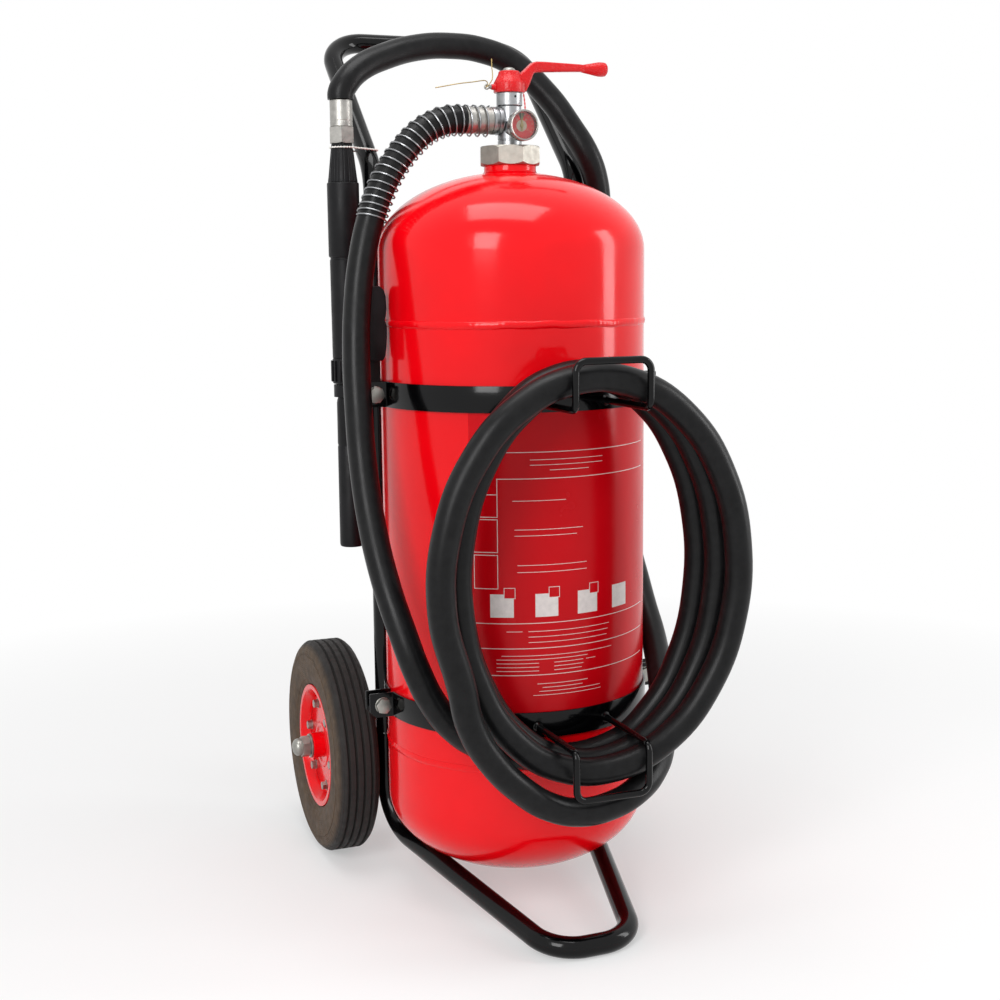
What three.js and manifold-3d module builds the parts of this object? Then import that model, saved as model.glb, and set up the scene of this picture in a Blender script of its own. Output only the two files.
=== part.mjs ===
// Wheeled powder fire extinguisher on a bent-tube trolley.
// Millimetres, +Z up, the ground is z = 0. The front (hose hooks, gauge) faces -Y, and the axle
// lies behind the cylinder along X. Pieces are made with the cylinder's axis on x = y = 0, and the
// whole is then moved so that the origin is the middle of its footprint.
import * as THREE from "three";
import { mergeVertices } from "three/addons/utils/BufferGeometryUtils.js";
import Module from "manifold-3d";

const wasm = await Module();
wasm.setup();

// ---------------------------------------------------------------- driving dimensions
const GAP = 0.3; // running or seating clearance between neighbours

// pressure cylinder
const CYL_R = 160;
const CYL_WALL = 3;
const HEAD_H = 92; // height of each dished head
const BODY_H = 668; // straight part between the heads
const BODY_CLEAR = 2.2; // from the foot's legs up to the lower head
const SEAM_RISE = [71, 584]; // girth welds, above the start of the straight part
const SEAM_BEAD = 1.2;
const SEAM_HALF = 3.5;
const NECK_R = 31;
const NECK_BORE = 22;
const NECK_H = 19; // above the tip of the dished head
const NECK_THREAD_R = 28;
const NECK_COLLAR_H = 9;

// valve
const VALVE_R = 16;
const FLANGE_R = 26.5;
const FLANGE_T = 4.7;
const SEAL_T = 2;
const NUT_R = 38; // over the corners
const NUT_SIDES = 8;
const NUT_LIP_T = 4.2;
const BARREL_H = 50;
const SPIGOT_L = 25;
const SEAT_DROP = 33; // from the barrel's top to the poppet's seat
const SEAT_T = 4;
const SEAT_BORE = 6.5;
const CHAMBER_R = 10;
const SPRING_BORE = 9.5;
const SPRING_L = 29;
const LEDGE_BORE = 7;
const BONNET_R = 20;
const BONNET_H = 15;
const BONNET_THREAD_R = 12;
const BONNET_THREAD_L = 6.5;
const HUB_R = 14.4;
const HUB_H = 11.5;
const STEM_R = 3.8;
const STEM_TOP = 17; // above the bonnet
const POPPET_R = 8.6;
const POPPET_T = 8;
const SPRING_WIRE = 1.4;
const SPRING_TURNS = 6;
const DIP_R = 11;
const DIP_WALL = 1.5;
const DIP_CLEAR = 16; // from the dip tube's mouth to the bottom of the shell

// handle
const CAP_R = 23.4;
const CAP_H = 28;
const LEVER_T = 13;
const LEVER_RISE = 32; // of the arm's centre, above the cap's lower edge
const LEVER_END = 127;
const BULB_R = 8.9;
const BULB_L = 23;
const SCREW_R = 6.8;
const PIN_R = 1.5;
const PIN_RISE = 6.2;

// pressure gauge
const GAUGE_R = 19.6;
const GAUGE_FACE_Y = -47.5;
const GAUGE_DEPTH = 13;
const GAUGE_DROP = 25.5; // below the barrel's top
const GAUGE_STEM_R = 5.2;
const GAUGE_BOSS_Y = -22;

// outlet, hose and nozzle
const OUTLET_DROP = 17; // below the barrel's top
const OUTLET_BOSS_R = 14;
const OUTLET_BORE = 8;
const OUTLET_NUT_X = [-12, -24];
const FERRULE_R = 15.6;
const FERRULE_L = 33;
const HOSE_R = 16;
const GUARD_WIRE_R = 1;
const GUARD_TURNS = 20;
const GUARD_L = 246;
const NOZZLE_OUT = 40; // from the left upright outwards
const NOZZLE_FORWARD = 4.5; // from the upright's axis
const NOZZLE_TIP_Z = 430;
const NOZZLE_TUBE_R = 15;
const NOZZLE_BARREL_R = 19.5;
const NOZZLE_NECK_R = 13.4;

// hose store: turns hung one before the other on two hooks
const COIL_X = -3;
const COIL_Z = 438;
const COIL_HALF_W = 194;
const COIL_HALF_H = 238;
const COIL_TAPER = 29; // the rear turn is that much narrower on each side than the front one
const COIL_TURNS = 3;
const COIL_CLEAR = 2.3; // from the clamp bands to the first turn
const HOOK_ROD_R = 4;
const HOOK_HALF_W = 44;
const HOOK_DEPTH = 104; // from the bands to the centre of the front bar
const HOOK_X = 8; // middle of both hooks
const HOOK_LIP = [-55, 52]; // the front bar under the lower arms, over the upper ones
const HOOK_CLEAR = 1.8; // between the upper arms and the turns that hang on them

// trolley frame
const TUBE_R = 12.5;
const TUBE_BORE = 10.5;
const UPRIGHT_IN = 24; // from the cylinder's side in to the uprights' axes
const BEND_Z = 893;
const HANDLE_FLARE = 2; // the handle is that much wider than the uprights, on each side
const HANDLE_Y = 307;
const HANDLE_Z = 1074;
const SPLIT_Z = 180; // where the handle tube and the foot tube are welded together
const FOOT_BEND_Z = 60;
const FOOT_FLAT = 0.7; // pressed flat where the foot meets the ground
const FOOT_X = 50;
const FOOT_Y = -236;
const BEND_R = 65;
const CORNER_R = 50;

// clamp bands
const BAND_T = 2.4;
const BAND_H = 30;
const BAND_RISE = [126, 502]; // band centres, above the start of the straight part
const EAR_Y = 8.5; // middle of each ear, from the cylinder's axis plane
const EAR_L = 32; // from the cylinder's side to an ear's tip
const BOLT_IN = 16; // from an ear's tip to its bolt
const BOLT_R = 5;
const BOLT_AF = 17;

// running gear
const AXLE_BACK = 99.48; // from the uprights' axes to the axle
const WHEEL_R = 141;
const AXLE_R = 10;
const BRACKET_T = 5;
const SPACER_L = 13.9;
const TYRE_W = 58;
const RIM_R = 82;
const HUB_WALL = 6.7;
const HUB_HALF = 29;
const RIM_WALL = 2.5;
const RIM_BOLTS = 6;
const RIM_BOLT_RING = 50;

// ---------------------------------------------------------------- derived places
// Height of the lower head's rim when the head just touches the foot's legs, which slope down
// forwards under it.
function headRest() {
  const steps = 50;
  let highest = 0;
  for (let i = 0; i <= steps; i += 1) {
    const t = i / steps;
    const x = UPRIGHT_X + (FOOT_X - UPRIGHT_X) * t;
    const y = UPRIGHT_Y + (FOOT_Y - UPRIGHT_Y) * t;
    const legTop = FOOT_BEND_Z + (TUBE_R - FOOT_BEND_Z) * t + TUBE_R;
    const r = Math.hypot(x, y) / CYL_R;
    if (r < 1) highest = Math.max(highest, legTop + HEAD_H * Math.sqrt(1 - r ** 2));
  }
  return highest;
}

const UPRIGHT_X = CYL_R - UPRIGHT_IN;
const HANDLE_X = UPRIGHT_X + HANDLE_FLARE;
const BAND_STEPS = 14; // facets of a half band
const BAND_INNER = (CYL_R + GAP) / Math.cos(Math.PI / 2 / BAND_STEPS);
const BAND_R = BAND_INNER + BAND_T;
// the uprights stand against the rear bands
const UPRIGHT_Y = Math.sqrt((BAND_R + GAP + TUBE_R) ** 2 - UPRIGHT_X ** 2);
const AXLE_Y = UPRIGHT_Y + AXLE_BACK;
const BODY_Z0 = headRest() + BODY_CLEAR; // where the lower head's curve ends
const BODY_Z1 = BODY_Z0 + BODY_H; // where the upper head's curve starts
const SEAM_Z = SEAM_RISE.map((rise) => BODY_Z0 + rise);
const BAND_Z = BAND_RISE.map((rise) => BODY_Z0 + rise);
const EAR_TIP = CYL_R + EAR_L;
const BOLT_X = EAR_TIP - BOLT_IN;
const TOP = BODY_Z1 + HEAD_H; // tip of the upper head
const NECK_TOP = TOP + NECK_H;
const FLANGE_Z = NECK_TOP + GAP + SEAL_T + GAP;
const BARREL_Z = FLANGE_Z + FLANGE_T;
const BARREL_TOP = BARREL_Z + BARREL_H;
const SEAT_Z = BARREL_TOP - SEAT_DROP;
const SPIGOT_Z = FLANGE_Z - SPIGOT_L;
const BONNET_Z = BARREL_TOP + GAP;
const BONNET_TOP = BONNET_Z + BONNET_H;
const CAP_Z = BONNET_TOP + GAP;
const PIN_Z = CAP_Z + PIN_RISE;
const LEVER_Z = CAP_Z + LEVER_RISE;
const GAUGE_Z = BARREL_TOP - GAUGE_DROP;
const OUTLET_Z = BARREL_TOP - OUTLET_DROP;
const COIL_SIDES = 28;
const HOSE_SIDES = 8;
const GUARD_SIDES = 6; // per turn
const GUARD_R = (HOSE_R + GUARD_WIRE_R + 0.8) / Math.cos(Math.PI / GUARD_SIDES);
const NOZZLE_X = -(UPRIGHT_X + NOZZLE_OUT);
const NOZZLE_Y = UPRIGHT_Y - NOZZLE_FORWARD;
const HUB_TUBE_R = AXLE_R + GAP + HUB_WALL;
const WHEEL_X = UPRIGHT_X + BRACKET_T / 2 + GAP + SPACER_L + GAP + HUB_HALF;
const COIL_BACK = -(BAND_R + COIL_CLEAR);
const COIL_DEPTH = COIL_TURNS * 2 * HOSE_R;
const COIL_BORE_W = COIL_HALF_W - 2 * HOSE_R - COIL_TAPER;
const COIL_BORE_H = COIL_HALF_H - 2 * HOSE_R;
const HOOK_REACH = (HOOK_HALF_W + HOOK_ROD_R) / COIL_BORE_W;
const HOOK_REST_Z = COIL_Z + COIL_BORE_H * Math.sqrt(1 - HOOK_REACH ** 2);
const HOOK_TOP_Z = HOOK_REST_Z - HOOK_ROD_R - HOOK_CLEAR;
const FRONT_Y = -(BAND_R + HOOK_DEPTH + HOOK_ROD_R * Math.cos(Math.PI / 8));
const MID_Y = (AXLE_Y + WHEEL_R + FRONT_Y) / 2; // middle of the footprint, front to back
const NECK_FOOT = HEAD_H * (1 - Math.sqrt(1 - (NECK_R / CYL_R) ** 2)); // head's drop at the neck

// ---------------------------------------------------------------- materials
const paint = (color, roughness, metalness = 0) =>
  new THREE.MeshStandardMaterial({ color, roughness, metalness });
const RED = paint(0xd5121b, 0.22);
const BLACK = paint(0x0d0d0e, 0.3);
const STEEL = paint(0xb9b8b2, 0.35, 1);
const ALUMINIUM = paint(0xc9c9c6, 0.4, 1);
const BRASS = paint(0xb8924a, 0.35, 1);
const RUBBER = paint(0x1b1b1c, 0.65);
const TYRE_RUBBER = paint(0x2a2623, 0.85);
const MOULDED = paint(0x17181a, 0.5);
const CLEAR = paint(0xe8eef0, 0.05);
const WHITE = paint(0xe6e6e2, 0.5);

// ---------------------------------------------------------------- shape helpers
// A closed solid of a geometry, with its faces turned outwards.
function solid(geometry) {
  const bare = geometry.index ? geometry.toNonIndexed() : geometry.clone();
  for (const name of Object.keys(bare.attributes)) {
    if (name !== "position") bare.deleteAttribute(name);
  }
  const merged = mergeVertices(bare, 1e-4);
  const index = merged.index.array;
  const p = merged.attributes.position.array;
  const tris = [];
  let volume = 0;
  for (let i = 0; i < index.length; i += 3) {
    const [a, b, c] = [index[i], index[i + 1], index[i + 2]];
    if (a === b || b === c || c === a) continue;
    tris.push(a, b, c);
    const [ax, ay, az] = p.slice(3 * a, 3 * a + 3);
    const [bx, by, bz] = p.slice(3 * b, 3 * b + 3);
    const [cx, cy, cz] = p.slice(3 * c, 3 * c + 3);
    volume += ax * (by * cz - bz * cy) + ay * (bz * cx - bx * cz) + az * (bx * cy - by * cx);
  }
  if (volume < 0) {
    for (let i = 0; i < tris.length; i += 3) [tris[i], tris[i + 1]] = [tris[i + 1], tris[i]];
  }
  const mesh = new wasm.Mesh({
    numProp: 3,
    vertProperties: new Float32Array(p),
    triVerts: new Uint32Array(tris),
  });
  return new wasm.Manifold(mesh);
}

// The geometry of a solid.
function geometryOf(body) {
  const mesh = body.getMesh();
  const geometry = new THREE.BufferGeometry();
  geometry.setAttribute("position", new THREE.BufferAttribute(mesh.vertProperties, 3));
  geometry.setIndex(new THREE.BufferAttribute(mesh.triVerts, 1));
  return geometry;
}

const join = (first, ...rest) => rest.reduce((a, b) => a.add(b), first);
const cut = (first, ...rest) => rest.reduce((a, b) => a.subtract(b), first);

// Revolves [radius, height] points round Z; phase turns the facets.
function revolve(points, sides = 32, phase = 0) {
  const profile = points.map(([r, z]) => new THREE.Vector2(r, z));
  return solid(new THREE.LatheGeometry(profile, sides, phase, 2 * Math.PI).rotateX(Math.PI / 2));
}

// Revolves a hollow profile, whose last point joins its first.
const revolveRing = (points, sides, phase) => revolve([...points, points[0]], sides, phase);

// A round bar or ring between two heights on Z.
const disc = (r, z0, z1, sides = 24, phase = 0) =>
  revolve([[0, z0], [r, z0], [r, z1], [0, z1]], sides, phase);
const ring = (r0, r1, z0, z1, sides = 24, phase = 0) =>
  revolveRing([[r0, z0], [r1, z0], [r1, z1], [r0, z1]], sides, phase);

// Puts a body made along Z onto the X axis (its +Z becomes +X), or onto -Y (its +Z becomes -Y).
const alongX = (body, x = 0, y = 0, z = 0) => body.rotate([0, 90, 0]).translate([x, y, z]);
const alongMinusY = (body, x = 0, y = 0, z = 0) => body.rotate([90, 0, 0]).translate([x, y, z]);

function box(x0, x1, y0, y1, z0, z1) {
  const shape = new THREE.BoxGeometry(x1 - x0, y1 - y0, z1 - z0);
  return solid(shape.translate((x0 + x1) / 2, (y0 + y1) / 2, (z0 + z1) / 2));
}

// A regular polygon as a shape, over its corners, with a flat side down.
function polygonShape(radius, sides) {
  const shape = new THREE.Shape();
  for (let i = 0; i < sides; i += 1) {
    const a = ((2 * i + 1) * Math.PI) / sides;
    shape[i ? "lineTo" : "moveTo"](radius * Math.sin(a), -radius * Math.cos(a));
  }
  return shape;
}

const outline = (points) => new THREE.Shape(points.map(([x, y]) => new THREE.Vector2(x, y)));

// Extrudes a shape of the XY plane upwards from z0.
function raise(shape, z0, height, bevel = 0) {
  const settings = { depth: height - 2 * bevel, bevelEnabled: bevel > 0 };
  if (bevel > 0) {
    Object.assign(settings, { bevelThickness: bevel, bevelSize: bevel, bevelOffset: -bevel });
    settings.bevelSegments = 1;
  }
  return solid(new THREE.ExtrudeGeometry(shape, settings).translate(0, 0, z0 + bevel));
}

// A path through stations, which it passes at even steps of its parameter.
class StationPath extends THREE.Curve {
  constructor(stations) {
    super();
    this.stations = stations;
  }
  getPoint(t) {
    const last = this.stations.length - 1;
    const i = Math.min(Math.floor(t * last + 1e-9), last - 1);
    return this.stations[i].clone().lerp(this.stations[i + 1], t * last - i);
  }
  getPointAt(u) {
    return this.getPoint(u);
  }
  getTangentAt(u) {
    const last = this.stations.length - 1;
    const i = Math.round(u * last);
    const back = this.stations[Math.max(i - 1, 0)];
    const on = this.stations[Math.min(i + 1, last)];
    return on.clone().sub(back).normalize();
  }
}

// Stations along straight runs with a round bend of its own radius at each inner corner.
function bentStations(corners, radii, steps = 3) {
  const v = corners.map((c) => new THREE.Vector3(...c));
  const stations = [v[0]];
  for (let i = 1; i < v.length - 1; i += 1) {
    const toBack = v[i - 1].clone().sub(v[i]).normalize();
    const toNext = v[i + 1].clone().sub(v[i]).normalize();
    const half = toBack.angleTo(toNext) / 2;
    const reach = radii[i - 1] / Math.tan(half);
    const centre = toBack.clone().add(toNext).normalize();
    centre.multiplyScalar(radii[i - 1] / Math.sin(half)).add(v[i]);
    const from = v[i].clone().addScaledVector(toBack, reach).sub(centre);
    const to = v[i].clone().addScaledVector(toNext, reach).sub(centre);
    const sweep = from.angleTo(to);
    for (let k = 0; k <= steps; k += 1) {
      const a = Math.sin((1 - k / steps) * sweep) / Math.sin(sweep);
      const b = Math.sin((k / steps) * sweep) / Math.sin(sweep);
      stations.push(centre.clone().addScaledVector(from, a).addScaledVector(to, b));
    }
  }
  stations.push(v[v.length - 1]);
  return stations;
}

// Sweeps a round section along stations; a bore makes it a pipe, coarser inside.
function sweep(stations, radius, sides = 12, bore = 0) {
  const shape = polygonShape(radius, sides);
  if (bore) shape.holes.push(polygonShape(bore, sides / 2));
  const settings = { steps: stations.length - 1, extrudePath: new StationPath(stations) };
  return solid(new THREE.ExtrudeGeometry(shape, settings));
}

const smoothCurve = (points) =>
  new THREE.CatmullRomCurve3(points.map((p) => new THREE.Vector3(...p)), false, "centripetal");

// Even steps along a smooth curve, with a short one at each end that sets the end face square.
function smoothStations(points, steps) {
  const curve = smoothCurve(points);
  const stations = curve.getSpacedPoints(steps);
  stations.splice(1, 0, curve.getPointAt(0.2 / steps));
  stations.splice(-1, 0, curve.getPointAt(1 - 0.2 / steps));
  return stations;
}

// Stations of a helix of even pitch round Z.
function helixStations(radius, z0, z1, turns, perTurn) {
  const stations = [];
  for (let i = 0; i <= turns * perTurn; i += 1) {
    const a = (2 * Math.PI * i) / perTurn;
    const z = z0 + ((z1 - z0) * i) / (turns * perTurn);
    stations.push(new THREE.Vector3(radius * Math.cos(a), radius * Math.sin(a), z));
  }
  return stations;
}

const quarter = (steps, place) => {
  const points = [];
  for (let i = 0; i <= steps; i += 1) points.push(place((i * Math.PI) / 2 / steps));
  return points;
};

// ---------------------------------------------------------------- hose route
// Lead from the outlet down to the coil, by hand.
const LEAD_POINTS = [
  [-57.4, 0, 946.3],
  [-72, 0, 946.3],
  [-88, 0, 942.8],
  [-112, 0, 930],
  [-137, -2, 905],
  [-158, -5, 875],
  [-177, -10, 833],
  [-191, -17, 785],
  [-200, -25, 735],
  [-206, -36, 680],
  [-209, -50, 620],
  [-210, -68, 550],
  [-208, -92, 485],
  [-203, -124, 425],
  [-194, -152, 375],
  [-185, -169, 350],
];
// From the coil's front, as a loose strand below it, round the right side, over the top and down to
// the nozzle, by hand.
const RETURN_POINTS = [
  [-108, -245, 228],
  [-89, -245, 209],
  [-58, -245, 187],
  [-21, -245, 175.6],
  [17, -244.5, 178],
  [53, -236, 188],
  [84, -217, 202],
  [108, -190, 219],
  [126, -158, 238],
  [140, -130, 260],
  [153, -100, 280],
  [164.5, -68, 298],
  [174, -36, 318],
  [180, -4, 342],
  [186, 28, 370],
  [190, 58, 402],
  [189, 86, 460],
  [182, 108, 530],
  [176, 115, 620],
  [172, 114, 720],
  [168, 109, 800],
  [164.5, 101, 850],
  [156, 92, 886],
  [143, 89, 916],
  [124.6, 100, 951],
  [99, 120, 994],
  [57, 136, 1034],
  [18, 141, 1048],
  [-23, 140, 1051],
  [-65, 135, 1047],
  [-113, 125, 1033],
  [-150, 115, 1015],
  [-169, 109, 997],
  [-176, 108, 984],
  [-176, 108, 978],
];

// ---------------------------------------------------------------- pressure cylinder
function cylinderShell() {
  const inner = CYL_R - CYL_WALL;
  const innerH = HEAD_H - CYL_WALL;
  const lower = quarter(5, (a) => [CYL_R * Math.sin(a), BODY_Z0 - HEAD_H * Math.cos(a)]);
  const seam = (z) => [
    [CYL_R, z - SEAM_HALF],
    [CYL_R + SEAM_BEAD, z],
    [CYL_R, z + SEAM_HALF],
  ];
  const headR = Math.asin(NECK_R / CYL_R);
  const upper = [];
  for (let i = 0; i <= 5; i += 1) {
    const a = Math.PI / 2 + ((headR - Math.PI / 2) * i) / 5;
    upper.push([CYL_R * Math.sin(a), BODY_Z1 + HEAD_H * Math.cos(a)]);
  }
  const neck = [
    [NECK_R, TOP - NECK_FOOT + NECK_COLLAR_H],
    [NECK_THREAD_R, TOP - NECK_FOOT + NECK_COLLAR_H],
    [NECK_THREAD_R, NECK_TOP],
    [NECK_BORE, NECK_TOP],
  ];
  const boreA = Math.asin(NECK_BORE / inner);
  const inside = [];
  for (let i = 0; i <= 3; i += 1) {
    const a = boreA + ((Math.PI / 2 - boreA) * i) / 3;
    inside.push([inner * Math.sin(a), BODY_Z1 + innerH * Math.cos(a)]);
  }
  const floor = quarter(3, (a) => [inner * Math.cos(a), BODY_Z0 - innerH * Math.sin(a)]);
  floor[floor.length - 1][0] = 0;
  const outside = [...lower, ...seam(SEAM_Z[0]), ...seam(SEAM_Z[1]), ...upper, ...neck];
  return revolve([...outside, ...inside, ...floor], 30);
}

function neckSeal() {
  const z = NECK_TOP + GAP;
  return ring(NECK_BORE + GAP, NECK_THREAD_R - 0.5, z, z + SEAL_T, 16);
}

// Chamfered nut that holds the valve's flange down on the neck.
function collarNut() {
  const z0 = TOP - NECK_FOOT + NECK_COLLAR_H + GAP;
  const z1 = BARREL_Z + GAP + NUT_LIP_T;
  const flat = NUT_R * Math.cos(Math.PI / NUT_SIDES);
  const chamfer = NUT_R - flat + 0.8;
  const block = raise(polygonShape(NUT_R, NUT_SIDES), z0, z1 - z0);
  const cone = revolve([
    [0, z0],
    [NUT_R - chamfer, z0],
    [NUT_R, z0 + chamfer * 0.7],
    [NUT_R, z1 - chamfer * 0.7],
    [NUT_R - chamfer, z1],
    [0, z1],
  ], 16);
  const thread = disc(NECK_THREAD_R + GAP, z0 - 1, BARREL_Z + GAP);
  const hole = disc(VALVE_R + 2 * GAP, z0 - 1, z1 + 1, 20);
  return cut(block.intersect(cone), thread, hole);
}

// ---------------------------------------------------------------- valve
function valveBody() {
  const ledgeZ = SEAT_Z - SEAT_T - SPRING_L;
  const shell = revolveRing([
    [DIP_R + 0.4, SPIGOT_Z],
    [NECK_BORE - 0.6, SPIGOT_Z],
    [NECK_BORE - 0.6, FLANGE_Z],
    [FLANGE_R, FLANGE_Z],
    [FLANGE_R, BARREL_Z],
    [VALVE_R, BARREL_Z],
    [VALVE_R, BARREL_TOP],
    [BONNET_THREAD_R + GAP, BARREL_TOP],
    [BONNET_THREAD_R + GAP, BARREL_TOP - BONNET_THREAD_L - GAP],
    [CHAMBER_R, BARREL_TOP - BONNET_THREAD_L - GAP],
    [CHAMBER_R, SEAT_Z],
    [SEAT_BORE, SEAT_Z],
    [SEAT_BORE, SEAT_Z - SEAT_T],
    [SPRING_BORE, SEAT_Z - SEAT_T],
    [SPRING_BORE, ledgeZ],
    [LEDGE_BORE, ledgeZ],
    [LEDGE_BORE, ledgeZ - 3],
    [DIP_R + 0.4, ledgeZ - 3],
  ], 16);
  const core = disc(BONNET_THREAD_R + GAP, SEAT_Z - SEAT_T - SPRING_L, BARREL_TOP, 16);
  const outletBoss = alongX(disc(OUTLET_BOSS_R, OUTLET_NUT_X[1], 0), 0, 0, OUTLET_Z).subtract(core);
  const gaugeBoss = alongMinusY(disc(8, 0, -GAUGE_BOSS_Y), 0, 0, GAUGE_Z).subtract(core);
  const outletBore = alongX(disc(OUTLET_BORE, OUTLET_NUT_X[1] - 1, 0, 16), 0, 0, OUTLET_Z);
  const gaugeBore = alongMinusY(disc(2, 0, -GAUGE_BOSS_Y + 1, 10), 0, 0, GAUGE_Z);
  return cut(join(shell, outletBoss, gaugeBoss), outletBore, gaugeBore);
}

function valveBonnet() {
  const grooveR = HUB_R - 3.5;
  const turned = revolveRing([
    [STEM_R + GAP, BARREL_TOP - BONNET_THREAD_L],
    [BONNET_THREAD_R, BARREL_TOP - BONNET_THREAD_L],
    [BONNET_THREAD_R, BONNET_Z],
    [BONNET_R - 0.8, BONNET_Z],
    [BONNET_R, BONNET_Z + 0.8],
    [BONNET_R, BONNET_TOP],
    [HUB_R, BONNET_TOP],
    [HUB_R, PIN_Z - PIN_R - 0.5],
    [grooveR, PIN_Z - PIN_R - 0.5],
    [grooveR, PIN_Z + PIN_R + 0.5],
    [HUB_R, PIN_Z + PIN_R + 0.5],
    [HUB_R, BONNET_TOP + HUB_H],
    [STEM_R + GAP, BONNET_TOP + HUB_H],
  ], 16);
  const vent = alongMinusY(disc(1.2, BONNET_R - 6, BONNET_R + 2, 8), 0, 0, 0);
  return turned.subtract(vent.rotate([0, 0, 6]).translate([0, 0, BONNET_Z + BONNET_H * 0.7]));
}

// The stem with its poppet head below the seat.
function valveStem() {
  const seatFace = SEAT_Z - SEAT_T - GAP;
  return revolve([
    [0, seatFace - POPPET_T],
    [4.5, seatFace - POPPET_T],
    [4.5, seatFace - 4],
    [POPPET_R, seatFace - 4],
    [POPPET_R, seatFace - 1.2],
    [POPPET_R - 1.2, seatFace],
    [STEM_R, seatFace],
    [STEM_R, BONNET_TOP + STEM_TOP - 1],
    [STEM_R - 1, BONNET_TOP + STEM_TOP],
    [0, BONNET_TOP + STEM_TOP],
  ], 12);
}

function valveSpring() {
  const z0 = SEAT_Z - SEAT_T - SPRING_L + SPRING_WIRE / 2 + GAP;
  const z1 = SEAT_Z - SEAT_T - GAP - 4 - SPRING_WIRE / 2 - GAP;
  const r = SPRING_BORE - 0.8 - SPRING_WIRE / 2;
  return sweep(helixStations(r, z0, z1, SPRING_TURNS, 7), SPRING_WIRE / 2, 4);
}

function dipTube() {
  const z1 = SEAT_Z - SEAT_T - SPRING_L - 3 - GAP;
  const z0 = BODY_Z0 - HEAD_H + CYL_WALL + DIP_CLEAR;
  const pipe = ring(DIP_R - DIP_WALL, DIP_R, z0, z1, 20);
  const slant = box(-30, 30, -30, 30, -30, 0).rotate([0, 35, 0]).translate([0, 0, z0 + 6]);
  return pipe.subtract(slant);
}

// ---------------------------------------------------------------- handle
// Round cap with the cranked lever cast on it; it points to +X when the valve is shut.
function valveHandle() {
  const cavityTop = BONNET_TOP + HUB_H + GAP;
  const cap = revolve([
    [0, CAP_Z],
    [CAP_R - 1, CAP_Z],
    [CAP_R, CAP_Z + 1.5],
    [CAP_R, CAP_Z + 12],
    [CAP_R - 1.6, CAP_Z + 18],
    [CAP_R - 6, CAP_Z + 24],
    [SCREW_R + 3, CAP_Z + CAP_H],
    [0, CAP_Z + CAP_H],
  ], 20);
  const armTop = LEVER_Z + 6;
  const armLow = LEVER_Z - 6;
  const side = outline([
    [12, CAP_Z + 3],
    [25.5, CAP_Z + 3],
    [38, armLow - 1],
    [50, armLow + 0.5],
    [LEVER_END - BULB_L + 4, LEVER_Z - 4.5],
    [LEVER_END - BULB_L + 4, LEVER_Z + 3.5],
    [50, armTop],
    [37, armTop + 0.5],
    [20, CAP_Z + CAP_H - 5],
    [12, CAP_Z + CAP_H - 5],
  ]);
  const lever = raise(side, -LEVER_T / 2, LEVER_T, 2.6).rotate([90, 0, 0]);
  const bulbX = LEVER_END - BULB_L;
  const bulb = revolve([
    [0, bulbX - 6],
    [5, bulbX - 6],
    [6.2, bulbX],
    [8.2, bulbX + 8],
    [BULB_R, bulbX + 15],
    [BULB_R - 0.8, LEVER_END - 2],
    [BULB_R - 3.4, LEVER_END],
    [0, LEVER_END],
  ], 12);
  const hub = disc(HUB_R + GAP + 0.2, CAP_Z - 1, cavityTop, 20);
  const pocket = disc(STEM_R + GAP, CAP_Z, BONNET_TOP + STEM_TOP + GAP, 16);
  const screwHole = disc(3 + GAP, CAP_Z, CAP_Z + CAP_H + 1, 14);
  const pinHole = alongX(disc(PIN_R + GAP, -CAP_R - 1, -HUB_R, 10), 0, 0, PIN_Z);
  const lug = alongX(ring(PIN_R + GAP, 4, -CAP_R - 3, -CAP_R + 2, 12), 0, 0, PIN_Z);
  return cut(join(cap, lever, alongX(bulb, 0, 0, LEVER_Z - 0.8), lug), hub, pocket, screwHole, pinHole);
}

function handleScrew() {
  const z0 = CAP_Z + CAP_H + GAP;
  return revolve([
    [0, BONNET_TOP + STEM_TOP + 2 * GAP],
    [3, BONNET_TOP + STEM_TOP + 2 * GAP],
    [3, z0],
    [SCREW_R, z0],
    [SCREW_R, z0 + 2],
    [SCREW_R - 2, z0 + 5],
    [0, z0 + 6.5],
  ], 16);
}

// Locking pin with an eye for the seal wire; it pulls out towards -X.
function safetyPin() {
  const tip = HUB_R - 3.5 + 0.6;
  const head = CAP_R + 3 + GAP;
  const pin = alongX(disc(PIN_R, -head - 3, -tip, 10), 0, 0, PIN_Z);
  const collar = alongX(disc(3.2, -head - 2, -head, 12), 0, 0, PIN_Z);
  const eye = alongMinusY(ring(2.6, 4.6, -1.3, 1.3, 14), -head - 7, 0, PIN_Z);
  return join(pin, collar, eye);
}

// ---------------------------------------------------------------- pressure gauge
const gaugeAt = (body) => alongMinusY(body, 0, 0, GAUGE_Z);
const GAUGE_FRONT = -GAUGE_FACE_Y; // along the gauge's own axis
const GAUGE_BACK = GAUGE_FRONT - GAUGE_DEPTH;
const DIAL_AT = GAUGE_BACK + 2.6;

function gaugeCase() {
  const wall = 1.1;
  const stemEnd = -GAUGE_BOSS_Y + GAP;
  return gaugeAt(revolve([
    [0, stemEnd],
    [GAUGE_STEM_R, stemEnd],
    [GAUGE_STEM_R, GAUGE_BACK],
    [GAUGE_R - 1, GAUGE_BACK],
    [GAUGE_R, GAUGE_BACK + 1],
    [GAUGE_R, GAUGE_FRONT - 0.6],
    [GAUGE_R - 0.6, GAUGE_FRONT],
    [GAUGE_R - 2.4, GAUGE_FRONT],
    [GAUGE_R - 2.4, GAUGE_FRONT - 1.2],
    [GAUGE_R - wall, GAUGE_FRONT - 1.2],
    [GAUGE_R - wall, GAUGE_BACK + wall],
    [0, GAUGE_BACK + wall],
  ], 20));
}

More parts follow.
